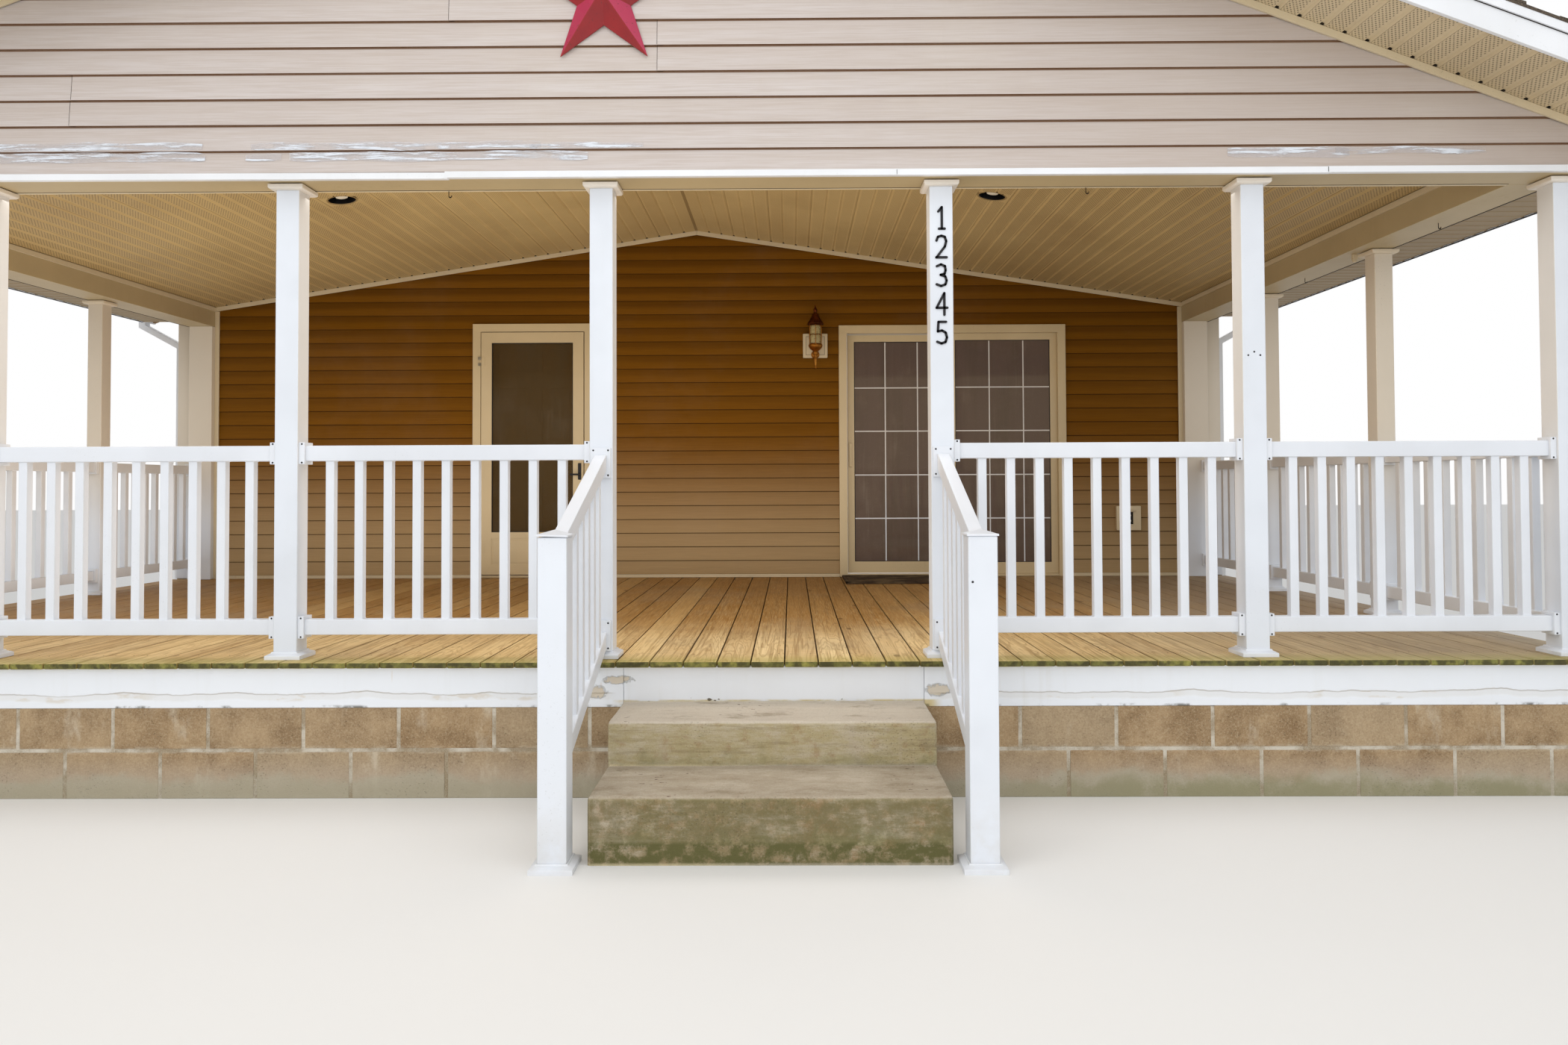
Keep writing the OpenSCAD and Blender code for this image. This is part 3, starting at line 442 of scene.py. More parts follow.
@dataclass(frozen=True)
class Siding(Finish):
    """Embossed vinyl siding in courses, bleached in bands, with a painted shadow line in the gap under each
    lap, painted shade in the upper part of each course and painted light and shade by height and across.
    """

    shade: str = "8a6a40"
    # Colour of the painted shadow line under each lap and of the painted shade high on the wall.
    dark: str = "4a2c10"
    low: float = 0.604
    fade: float = 0.5
    # Height in the course where the painted shadow line under the next lap begins.
    gap: float = 0.95
    # Colour at the foot of the wall: the siding pales towards it, painted light and shade by height.
    foot: str = ""
    shine: float = 0.3
    bloom: float = 0.12

    def settings(self) -> dict:
        """A dull skin that reflects little of the pale surround."""
        return {"Specular IOR Level": self.shine}

    def wire(self, g: Graph, place: Value, tone: Value) -> None:
        """Bleached bands along the boards, painted shade by height in the course, painted light and shade by
        height on the wall and across it, and the pressed grain.
        """
        x, _, z = g.axes(place)
        nx, _, nz = g.axes(g.normal())
        rise = g.math("FRACT", (z - (self.low - 0.0004)) / COURSE)
        grain = g.effect(EMBOSS, Vector=place, Tone=tone)
        grime = g.effect(GRIME, Vector=place, Streak_Scale=19.0)
        bands = g.noise(g.stretch(g.shift(place, tone * 9), 0.35, 1, 6), 2.4, 4, 0.6)
        foot = tint(self.foot or self.colour)
        deep = (*(c * 0.82 for c in foot[:3]), 1.0) if self.foot else tint(self.shade)
        # Painted light and shade: paler towards the foot of the house wall, darker upwards.
        up = g.fit(z, 0.6, 1.8)
        g.skin, shade = g.mix(up, foot, tint(self.colour)), g.mix(up, deep, tint(self.shade))
        high = g.fit(z, 1.5, 2.9) if self.foot else 0.0
        # Painted light and shade across the wall: a shift to the shade colour towards the right.
        g.lay(g.fit(x, 0.4, 3.4, 0.0, 0.1 if self.foot else 0.55), shade)
        g.lay(g.fit(bands, 0.3, 0.72, 0.0, self.fade), shade)
        g.lay(g.fit(tone, 0, 1) * 0.14, shade)
        g.lay(g.fit(grain["Lines"], 0.4, 0.62) * 0.4, shade)
        # Painted shade: each course darker in its upper part, under the lap above, and much darker there high
        # on the wall.
        g.lay(g.fit(rise, 0.4, 0.75, 0.0, 0.22), shade)
        g.lay(g.fit(rise, 0.3, 0.7) * (high * 0.34), self.dark)
        g.lay(grime["Streaks"] * 0.12, shade)
        g.lay(grime["Patches"] * self.bloom, "d9d2c6")
        # Painted shadow: the underside of each butt, the ends at the seams and a band at the top of each
        # course go dark.
        turned = g.math("MAXIMUM", g.fit(nz, -0.25, -0.6), g.fit(abs(nx), 0.4, 0.8))
        gap = g.math("MAXIMUM", g.fit(rise, self.gap - 0.02, self.gap + 0.03), turned)
        g.lay(gap * (0.93 - high * 0.35), self.dark)
        g.put("Roughness", g.fit(bands, 0.3, 0.8, self.rough - 0.06, self.rough + 0.1))
        g.relief(grain["Height"], 0.0011, 0.75)


@dataclass(frozen=True)
class Panelling(Finish):
    """Ribbed ceiling and soffit panels. Vented ones carry rows of slots, painted dark for the shade behind
    them.
    """

    shade: str = "8b6f42"
    step: float = 0.0254
    row: float = 0.0079
    length: float = 0.2
    field: tuple[float, float] = (0.0145, 0.0885)

    def wire(self, g: Graph, place: Value, tone: Value) -> None:
        """Soft staining, a painted shade line in the panel joints, and the vent slots painted dark for the
        shade behind them.
        """
        y = g.axes(place)[1]
        grime = g.effect(GRIME, Vector=place)
        blot = g.noise(g.stretch(place, 1, 0.5, 1), 1.3, 4, 0.6)
        g.skin = g.mix(g.fit(blot, 0.32, 0.75, 0.0, 0.42), tint(self.colour), tint(self.shade))
        g.lay(tone * 0.16, self.shade)
        g.lay(grime["Patches"] * 0.16, "6e5531")
        height = g.noise(place, 90, 2) * 0.12
        side = g.attribute("side")
        vents = g.attribute("vents")
        slots = g.effect(SLOTS, Vector=place, Along=y, Across=side, Step=self.step, Row=self.row,
                         Length=self.length)
        flat = g.fit(g.axes(g.normal())[2], -0.85, -0.9)
        low, high = self.field
        inside = g.fit(side, low, low + 0.002) * g.fit(side, high, high - 0.002)
        # Painted shade: the vent slots are dark, and the vented field a little darker, for the shade seen
        # through them.
        hole = slots["Mask"] * vents * (inside * flat)
        g.lay(vents * inside * 0.12, self.shade)
        # Painted shade: a dark line in the panel joints, on the ceiling in every third one.
        g.lay(g.fit(side, 0.0035, 0.0015) * 0.6, "6e5531")
        g.lay(hole * 0.66, "38260f")
        height = height - hole * 0.9
        g.relief(height, 0.0022, 0.8)


@dataclass(frozen=True)
class BlockFace(Finish):
    """Pressed concrete block, warm tan, with pale salts and a splashed foot."""

    dark: str = "84643a"

    def wire(self, g: Graph, place: Value, tone: Value) -> None:
        """Cloudy tone, sand grain, pale salts near the joints and dirt and moss near the ground."""
        own = g.shift(place, tone * 21)
        stone = g.effect(MINERAL, Vector=own, Cloud_Scale=6.5, Grain_Scale=190.0)
        x, _, z = g.axes(place)
        g.skin = g.mix(g.fit(stone["Cloud"], 0.3, 0.72), tint(self.colour), tint(self.dark))
        g.lay(g.fit(tone, 0.0, 1.0, 0.0, 0.5), "ab9a80")
        sand = g.noise(place, 150, 4, 0.75)
        g.lay(g.fit(sand, 0.5, 0.64, 0.0, 0.4), "c2b294")
        g.lay(g.fit(sand, 0.46, 0.36, 0.0, 0.4), "6f5a3d")
        low = g.math("FRACT", z / 0.2032)
        near = g.math("MAXIMUM", g.fit(low, 0.12, 0.02), g.fit(low, 0.9, 0.98))
        smear = near * g.fit(g.noise(g.stretch(own, 0.7, 0.7, 1.2), 12, 5, 0.7), 0.42, 0.6)
        g.lay(smear * 0.5, "c6bca9")
        g.lay(g.fit(z, 0.2, 0.05, 0.0, 0.7), "b0a291")
        salts = g.fit(g.noise(g.stretch(own, 1.3, 1.3, 0.45), 5.5, 6, 0.68), 0.56, 0.78)
        g.lay(salts * 0.62, "cfc5b2")
        g.lay(stone["Pits"] * 0.3, "5f4d36")
        wet = g.fit(z, 0.24, 0.0, 0.0, 0.92)
        line = 0.1 + (g.noise(place, 2.6, 6, 0.66) - 0.5) * 0.26
        splash = g.fit(z - line, 0.02, -0.03)
        g.lay(splash * 0.66, "aaa491")
        moss = g.effect(MOSS, Vector=place, Wet=wet)
        damp = g.fit(z, 0.16, 0.04) * g.fit(x, 1.2, 2.4, 0.25, 1.0)
        g.lay(moss["Mask"] * (damp * 0.6), "7b7a52")
        g.relief(stone["Height"], 0.0022, 1.0)


@dataclass(frozen=True)
class Mortar(Finish):
    """Pale struck mortar, sandy and uneven."""

    def wire(self, g: Graph, place: Value, tone: Value) -> None:
        """Sandy grain, and darker damp patches near the ground."""
        stone = g.effect(MINERAL, Vector=place, Cloud_Scale=9.0, Grain_Scale=320.0)
        _, _, z = g.axes(place)
        g.skin = g.mix(g.fit(g.noise(place, 5.0, 5, 0.7), 0.4, 0.6), tint(self.colour), tint("9b8a70"))
        g.lay(g.fit(z, 0.2, 0.02) * 0.5, "7d7153")
        g.lay(g.fit(stone["Grain"], 0.4, 0.7) * 0.3, "e2dccd")
        g.relief(stone["Height"], 0.003, 1.0)


@dataclass(frozen=True)
class Concrete(Finish):
    """Broomed concrete steps with mossy risers, pale noses and leaf stains; the noses are worn and carry a
    painted highlight, brightest towards the left.
    """

    def wire(self, g: Graph, place: Value, tone: Value) -> None:
        """Lays the cast grain, the moss by the way a face looks, and the pale noses, worn and with a painted
        highlight.
        """
        stone = g.effect(MINERAL, Vector=place, Cloud_Scale=4.0, Grain_Scale=230.0)
        facing = g.axes(g.normal())[2]
        upward = g.fit(facing, 0.3, 0.8)
        x, _, z = g.axes(place)
        side = 1.0 - upward
        riser = g.mix(g.fit(z, 0.25, 0.21), tint("ad9f79"), tint("8b7b5a"))
        g.skin = g.mix(side, g.mix(g.fit(z, 0.36, 0.28), tint(self.colour), tint("a99c88")), riser)
        smear = g.noise(g.stretch(place, 0.5, 1, 1.7), 9.5, 8, 0.72)
        g.lay(g.fit(smear, 0.44, 0.66, 0.0, 0.5), "c9bfae")
        g.lay(g.fit(smear, 0.46, 0.34, 0.0, 0.5), "83745a")
        joint = g.fit(z, 0.25, 0.238) + g.fit(z, 0.086, 0.07)
        joint = joint * side * g.fit(g.noise(place, 24, 5, 0.7), 0.34, 0.56)
        rust = g.fit(g.noise(g.shift(place, (4.0, 4.0, 4.0)), 16, 6, 0.7), 0.52, 0.66)
        g.lay(rust * g.fit(side, 0, 1, 0.08, 0.4), "96714a")
        runs = g.fit(g.noise(g.stretch(place, 1, 1, 0.12), 7, 5, 0.6), 0.54, 0.7)
        g.lay(runs * side * 0.5, "b7aa98")
        scrape = g.fit(g.noise(g.stretch(place, 0.08, 1, 1), 60, 4, 0.7), 0.48, 0.66)
        g.lay(scrape * g.fit(side, 0, 1, 0.12, 0.36), "7d6d4a")
        speck = g.noise(place, 150, 4, 0.75)
        g.lay(g.fit(speck, 0.5, 0.66, 0.0, 0.14), "d6d0c4")
        g.lay(g.fit(speck, 0.46, 0.34, 0.0, 0.26), "7d715a")
        low = g.fit(g.math("FRACT", (z - 0.068) / 0.169), 0.75, 0.0)
        wet = side * 0.38 + side * low * 0.34
        moss = g.effect(MOSS, Vector=place, Wet=wet + upward * 0.1)
        green = g.mix(g.fit(g.noise(place, 30, 3), 0.35, 0.65), tint("6f7048"), tint("918d63"))
        g.lay(moss["Mask"] * 0.6, green)
        corner = g.fit(x, 0.02, -0.09) * g.fit(z, 0.2, 0.07)
        corner = corner * side * g.fit(g.noise(place, 22, 4), 0.36, 0.56)
        g.lay(corner * 0.75, "79861f")
        g.lay(joint * 0.5, "5d5a34")
        stains = g.fit(g.noise(g.stretch(place, 1, 2.2, 1), 36, 2, 0.4), 0.7, 0.72)
        clump = g.fit(g.noise(place, 3.1, 1), 0.5, 0.6)
        g.lay(stains * (clump * upward) * 0.9, "4c2a19")
        # Pale noses: partly wear, partly a painted sunlit highlight along the edges, brighter towards the
        # left.
        rubbed = g.effect(WORN, Vector=place, Radius=0.02)["Mask"] * 0.75
        g.lay(rubbed, g.mix(g.fit(x, 0.75, 0.35), tint("c9bfae"), tint("ecdcb6")))
        g.lay(stone["Pits"] * 0.16, "5c523c")
        broom = g.noise(g.stretch(place, 0.03, 1, 1), 300, 2, 0.5)
        height = stone["Height"] + broom * 0.35
        height = height + moss["Height"] * 0.5
        g.relief(height, 0.0026, 1.0)


@dataclass(frozen=True)
class DeckWood(Finish):
    """Treated pine boards: golden towards the front and darker brown towards the wall, partly weathering and
    partly painted shade under the roof; greyer to the right, green at the front edge.
    """

    def wire(self, g: Graph, place: Value, tone: Value) -> None:
        """Lays rings and fibres, weathering and painted shade by place, painted shade on the board sides, and
        moss on the front and end grain.
        """
        wood = g.effect(WOOD, Vector=place, Tone=tone)
        x, y, z = g.axes(place)
        end = g.fit(g.axes(g.normal())[1], -0.5, -0.85)
        # Darker brown towards the wall: partly weathering, partly painted shade under the roof.
        weathered_and_shaded = g.fit(y + (g.noise(place, 1.6, 4) - 0.5) * 0.9, -0.2, -1.25)
        g.skin = g.mix(weathered_and_shaded, tint("9f7130"), tint(self.colour))
        g.lay(g.fit(wood["Figure"], 0.3, 0.7, 0.0, 0.4), "bd9458")
        g.lay(wood["Rings"] * 0.42, "8a5f2a")
        g.lay(wood["Lines"] * 0.55, "7d5825")
        sawn = g.fit(g.noise(g.stretch(g.shift(place, tone), 0.1, 1, 1), 150, 3, 0.7), 0.5, 0.66)
        g.lay(sawn * 0.3, "7f5d31")
        # Painted shade: the sides of the boards, down in the gaps, go dark brown.
        own = g.axes(g.normal())[0]
        g.lay(g.fit(abs(own), 0.3, 0.8, 0.0, 0.85), "4b2f14")
        g.lay(g.fit(wood["Fibre"], 0.4, 0.75) * 0.4, "ead3a2")
        g.lay(g.fit(tone, 0.15, 1.0, 0.0, 0.3), "a17c4a")
        g.lay(g.fit(tone, 0.35, 0.0, 0.0, 0.3), "dfbf85")
        g.lay(wood["Knots"] * 0.7, "5e3e1c")
        wide = g.noise(place, 1.1, 5, 0.6)
        grey = g.math("ADD", g.fit(x, 1.9, 3.6, 0.0, 0.62), g.fit(wide, 0.48, 0.8, 0.0, 0.4), clamp=True)
        grey = grey * g.fit(wood["Fibre"], 0.1, 0.6, 0.55, 1.0)
        g.lay(grey, "9c8f7c")
        trod = g.fit(g.noise(g.stretch(place, 1, 0.6, 1), 3.4, 5), 0.5, 0.72) * 0.3
        g.lay(trod * 0.7, "6b5233")
        front = g.fit(y, -1.48, -1.68)
        g.lay(front * 0.4, "a8a04a")
        wet = front * 0.55 + end * 0.42
        moss = g.effect(MOSS, Vector=g.shift(place, tone), Wet=wet)
        green = g.mix(g.fit(g.noise(place, 40, 3), 0.35, 0.7), tint("5f6a1c"), tint("9a9a3e"))
        g.lay(moss["Mask"] * 0.75, green)
        g.lay(end * g.fit(tone, 0.3, 0.6, 0.55, 0.2), "4c4a20")
        dark = end * g.fit(g.noise(place, 26, 4), 0.36, 0.6)
        g.lay(dark * 0.75, "2f2811")
        height = wood["Height"] + moss["Height"] * 0.5
        g.relief(height, 0.0016, 0.9)
        g.put("Roughness", g.fit(wood["Fibre"], 0.3, 0.8, 0.62, 0.85))


@dataclass(frozen=True)
class RimPaint(Finish):
    """White painted rim boards with the film torn off along a wavy line."""

    level: float = 0.442
    patches: tuple = ((-0.06, 0.447, 0.036, 0.022), (0.028, 0.498, 0.052, 0.015),
                      (1.385, 0.452, 0.045, 0.022))

    def wire(self, g: Graph, place: Value, tone: Value) -> None:
        """Lays the torn film, bare tan patches, the curled edge and a broken painted shadow line at the foot.
        """
        peel = g.effect(PEEL, Vector=place, Level=self.level)
        grime = g.effect(GRIME, Vector=place, Speck_Scale=90.0)
        x, _, z = g.axes(place)
        g.skin = g.mix(grime["Patches"] * 0.12, tint(self.colour), tint("d3cfc6"))
        aside = g.fit(abs(x - STEP_MIDDLE), 0.66, 0.72)
        film, edge = peel["Film"] * aside, peel["Edge"] * aside
        bare, rough = peel["Bare"] * aside * 0.5, (g.noise(place, 34, 8, 0.78) - 0.5) * 5.5
        curl = 0.0
        for cx, cz, rx, rz in self.patches:
            dx, dz = ((v - c) / r for v, c, r in ((x, cx, rx), (z, cz, rz)))
            far = g.math("POWER", dx, 2.0) + g.math("POWER", dz, 2.0) + rough
            bare = g.math("MAXIMUM", bare, g.fit(far, 1.1, 0.9))
            curl = g.math("MAXIMUM", curl, g.fit(far, 1.6, 1.3) * g.fit(far, 0.9, 1.1))
        g.lay(film * 0.3, "d6d2ca")
        g.lay(bare * 0.8, "cbbca3")
        g.lay(edge * 0.45, "9d8f79")
        g.lay(curl * 0.3, "a9a498")
        rust = g.fit(g.noise(g.stretch(place, 1, 1, 0.15), 13, 3), 0.68, 0.74)
        g.lay(rust * g.fit(z, 0.43, 0.52) * 0.4, "c9a468")
        seam = g.fit(z, 0.416, 0.408) * g.fit(g.noise(place, 9, 4), 0.35, 0.6)
        seam = seam * (1.0 - aside)
        g.lay(seam * 0.85, "cdb878")
        bits = g.fit(z, 0.435, 0.42) * g.fit(g.noise(g.stretch(place, 1, 1, 1.6), 17, 3), 0.66, 0.7)
        g.lay(bits * (1.0 - aside) * 0.9, "4a3b17")
        # Painted shadow: a broken dark line along the foot of the boards, the shade of the gap over the
        # blocks.
        foot = g.fit(z, 0.398, 0.386) * g.fit(g.noise(place, 11, 5), 0.54, 0.66)
        g.lay(foot * 0.8, "3d3417")
        g.lay(grime["Streaks"] * 0.14, "b3a888")
        height = film * -0.6 + edge * 0.8 + curl * 0.8
        height = height + g.noise(g.stretch(place, 0.1, 1, 1), 160, 2) * 0.12
        g.relief(height, 0.0016, 1.0)
        g.put("Roughness", g.fit(film, 0, 1, self.rough, 0.8))


@dataclass(frozen=True)
class Shingle(Finish):
    """Asphalt shingles with coloured granules, each tab in its own tone."""

    def wire(self, g: Graph, place: Value, tone: Value) -> None:
        """Lays the granules, the tone of each tab and pale weathering."""
        stone = g.effect(MINERAL, Vector=place, Cloud_Scale=3.0, Grain_Scale=420.0)
        g.skin = g.mix(g.fit(tone, 0.0, 1.0), tint(self.colour), tint("6c5d4d"))
        g.lay(g.fit(stone["Grain"], 0.45, 0.62) * 0.5, "93836f")
        g.lay(stone["Pits"] * 0.8, "1f1a16")
        g.lay(g.fit(stone["Cloud"], 0.5, 0.75, 0.0, 0.3), "7c776a")
        g.relief(stone["Height"], 0.0025, 1.0)


@dataclass(frozen=True)
class Timber(Finish):
    """Plain framing lumber and rough sawn wood."""

    def wire(self, g: Graph, place: Value, tone: Value) -> None:
        """Grain along the longest run of the piece, with dirt in patches."""
        turned = g.node("VectorRotate", {"Vector": place, "Angle": math.pi / 2}, rotation_type="Z_AXIS")
        wood = g.effect(WOOD, Vector=turned.outputs[0], Tone=0.4)
        g.skin = g.mix(g.fit(wood["Figure"], 0.3, 0.7), tint(self.colour), tint("8d6b3e"))
        g.lay(wood["Rings"] * 0.3, "7a5526")
        g.relief(wood["Height"], 0.0012, 0.8)


@dataclass(frozen=True)
class StarPaint(Finish):
    """Pressed metal star in red enamel, dusty in the folds and rubbed on the ridges."""

    def settings(self) -> dict:
        """A gloss coat over the enamel."""
        return {"Coat Weight": 0.35, "Coat Roughness": 0.25}

    def wire(self, g: Graph, place: Value, tone: Value) -> None:
        """Lays the faded red, a painted sheen on the facets turned to the sides, rubbed ridges and small rust
        spots.
        """
        grime = g.effect(GRIME, Vector=place, Patch_Scale=5.0, Streak_Scale=40.0, Speck_Scale=120.0)
        nx, _, nz = g.axes(g.normal())
        g.skin = g.mix(g.fit(g.noise(place, 6, 4), 0.35, 0.7), tint(self.colour), tint("850410"))
        # Painted sheen: facets turned to the sides and lying level get a pink highlight.
        sheen = g.fit(abs(nx), 0.12, 0.4) * g.fit(nz, -0.15, 0.15)
        g.lay(sheen * 0.55, "c23a68")
        rub = g.effect(WORN, Vector=place, Radius=0.006)["Mask"]
        g.lay(rub * 0.3, "d0555a")
        g.lay(grime["Streaks"] * 0.25, "5c3a34")
        g.lay(grime["Specks"] * 0.7, "3b1a12")
        g.put("Roughness", g.fit(grime["Patches"], 0, 1, self.rough, self.rough + 0.25))
        g.relief(g.noise(place, 24, 2), 0.0015, 0.5)


@dataclass(frozen=True)
class Metal(Finish):
    """Bare or lacquered metal with tarnish in patches and rubbed edges."""

    tarnish: str = "3a2c1c"
    share: float = 0.5

    def settings(self) -> dict:
        """Fully metallic."""
        return {"Metallic": 1.0}

    def wire(self, g: Graph, place: Value, tone: Value) -> None:
        """Lays the tarnish, fine scratches and rubbed edges."""
        cloud = g.noise(place, 34, 5, 0.65)
        g.skin = g.mix(g.fit(cloud, 0.38, 0.66) * self.share, tint(self.colour), tint(self.tarnish))
        rub = g.effect(WORN, Vector=place, Radius=0.0015)["Mask"]
        g.lay(rub * 0.35, "e8c890")
        g.put("Roughness", g.fit(cloud, 0.3, 0.7, self.rough - 0.08, self.rough + 0.2))
        g.relief(g.noise(place, 300, 2), 0.0004, 0.5)


@dataclass(frozen=True)
class Pane(Finish):
    """Dusty door glass with a dim room or door behind it."""

    alpha: float = 0.93
    shine: float = 0.35

    def settings(self) -> dict:
        """Glass over a dark room, which keeps the reflection of the pale surround low."""
        return {"IOR": 1.45, "Specular IOR Level": self.shine, "Specular Tint": tint("c9b48c")}

    def wire(self, g: Graph, place: Value, tone: Value) -> None:
        """Lays the faint dust film, runs and uneven flatness."""
        grime = g.effect(GRIME, Vector=place, Patch_Scale=2.4, Streak_Scale=34.0, Speck_Scale=260.0)
        film = grime["Streaks"] * 0.1 + grime["Patches"] * 0.07
        hang = g.fit(g.noise(g.stretch(place, 1, 1, 0.08), 9, 4, 0.6), 0.4, 0.75, 0.0, 0.3)
        g.skin = g.mix(hang, tint(self.colour), tint("4c4535"))
        g.lay(film + grime["Specks"] * 0.15, "b7b2a6")
        g.put("Alpha", g.math("ADD", film, self.alpha, clamp=True))
        g.put("Roughness", g.fit(film, 0.0, 0.17, self.rough, self.rough + 0.2))
        g.relief(g.noise(place, 1.3, 1), 0.002, 0.2)


@dataclass(frozen=True)
class Amber(Finish):
    """Seeded lantern glass."""

    def settings(self) -> dict:
        """Clear and warm."""
        return {"Transmission Weight": 0.4, "IOR": 1.45}

    def wire(self, g: Graph, place: Value, tone: Value) -> None:
        """Lays seeds in the glass and dust towards its foot."""
        seeds = g.fit(g.noise(place, 150, 1), 0.66, 0.74)
        g.skin = g.mix(seeds * 0.2, tint(self.colour), tint("f4ecd4"))
        g.put("Roughness", g.fit(g.noise(place, 40, 3), 0.4, 0.7, self.rough, 0.5))
        g.relief(seeds, 0.002, 0.7)


@dataclass(frozen=True)
class MatFibre(Finish):
    """Looped door mat fibre, trodden paler in the middle."""

    def wire(self, g: Graph, place: Value, tone: Value) -> None:
        """Lays the loops and the sand trodden into them."""
        loops = g.noise(place, 420, 3, 0.7)
        trod = g.fit(g.noise(place, 5, 4), 0.4, 0.7)
        g.skin = g.mix(g.fit(loops, 0.35, 0.7), tint("392c20"), tint(self.colour))
        mesh = g.fit(g.noise(g.stretch(place, 0.2, 1, 1), 55, 3), 0.48, 0.6)
        g.lay(mesh * 0.8, "2e241a")
        g.lay(trod * 0.4, "93805f")
        g.relief(loops, 0.004, 1.0)


@dataclass(frozen=True)
class Tape(Finish):
    """Old clear tape, wrinkled and half loose."""

    def settings(self) -> dict:
        """A plastic sheen."""
        return {"Specular IOR Level": 0.7}

    def wire(self, g: Graph, place: Value, tone: Value) -> None:
        """Lays the wrinkles, the trapped air and the torn gaps."""
        crease = g.noise(g.stretch(place, 0.07, 1, 1), 62, 6, 0.7, 0.35)
        air = g.fit(crease, 0.46, 0.6)
        torn = g.fit(g.noise(g.stretch(place, 0.5, 1, 1), 9, 4), 0.36, 0.5)
        g.skin = g.mix(air, tint("dedadc"), tint(self.colour))
        g.put("Alpha", g.fit(air, 0.0, 1.0, 0.22, 0.9) * (0.25 + torn * 0.75))
        g.relief(crease, 0.004, 0.8)


class Paint:
    """The finishes of the porch by use."""

    WHITE = Vinyl("White vinyl", "e4e8ef", 0.38, dirt=0.12, warm=0.35)
    SLEEVE = Vinyl("White sleeve vinyl", "e2e7ef", 0.36, dirt=0.14, warm=0.75)
    # The caps' ivory tint is partly painted shade of the white vinyl under the beam.
    CAP = Vinyl("Ivory cap vinyl", "ebe3d8", 0.42, dust="b9a88a", dirt=0.12, warm=0.8)
    CREAM = Vinyl("Cream vinyl", "d6c6a6", 0.45, dust="9a7f55", dirt=0.26)
    BEAM = Vinyl("Cream beam wrap", "bba882", 0.45, dust="8d7349", dirt=0.3)
    DOOR = Vinyl("Cream door enamel", "d2be97", 0.36, dust="a08a63", dirt=0.24, glaze=0.15)
    TRIM_WHITE = Vinyl("White coil metal", "eceef2", 0.34, dust="c5bfb0", dirt=0.2, glaze=0.1)
    GABLE = Siding("Gable siding", "cdc5c2", 0.5, shade="b5a69a", dark="6b451c", low=2.6565, fade=0.25,
                   gap=0.94)
    # The deep brown of the house siding is partly painted warm shade under the porch roof.
    WALL = Siding("House siding", "7c500a", 0.55, shade="664007", dark="3a2106", low=0.604, fade=0.25,
                  gap=0.955, foot="b39870", shine=0.1, bloom=0.02)
    CEILING = Panelling("Ceiling panels", "cbb17c", 0.55, shade="a5885a")
    SOFFIT = Panelling("Soffit panels", "dccaa8", 0.55, shade="b59f7b", row=0.0076, length=0.19,
                       field=(0.003, 0.0675))
    BLOCK = BlockFace("Block face", "ac9270", 0.9, dark="876d4e")
    MORTAR = Mortar("Mortar", "cfc7b8", 0.95)
    CONCRETE = Concrete("Step concrete", "c6bbab", 0.9)
    DECK = DeckWood("Deck boards", "f0d6a2", 0.72)
    RIM = RimPaint("Painted rim boards", "e8ecf2", 0.55)
    SHINGLE = Shingle("Roof shingles", "433a32", 0.95)
    TIMBER = Timber("Framing timber", "b89460", 0.8)
    BACKING = Vinyl("Wall sheathing", "b3a488", 0.85, dust="8f7d5c", dirt=0.5)
    STAR = StarPaint("Star enamel", "98070f", 0.3)
    BRONZE = Metal("Lantern crown", "6e3a20", 0.4, tarnish="2a120a", share=0.7)
    BRASS = Metal("Lantern brass", "c98a3c", 0.34, tarnish="5e3d20", share=0.4)
    STEEL = Metal("Hinge steel", "b9b2a2", 0.4, tarnish="6b5e48")
    BLACK = Vinyl("Black hardware", "17151a", 0.4, dust="5a5347", dirt=0.25)
    # Nearly opaque: its dark colour is the painted shade of a dim room behind the slider.
    GLASS = Pane("Slider glass", "685850", 0.04, alpha=0.93, shine=0.6)
    SCREEN = Pane("Storm door glass", "523d1e", 0.06, alpha=0.55, shine=0.2)
    LAMP = Vinyl("Frosted lamp", "e9e2cf", 0.3, dirt=0.2)
    # A dark sheet for painted shadow lines and notches, also used on dark fittings such as screw heads and
    # hooks.
    DARK = Vinyl("Shadow gap", "1d140a", 0.8, dirt=0.0)
    PITCH = Vinyl("Black can", "0b0a0d", 0.5, dirt=0.0)
    AMBER = Amber("Lantern glass", "cdbd88", 0.2)
    FIBRE = MatFibre("Door mat fibre", "5a4836", 0.95)
    TAPE = Tape("Clear tape", "e4eaf3", 0.2)


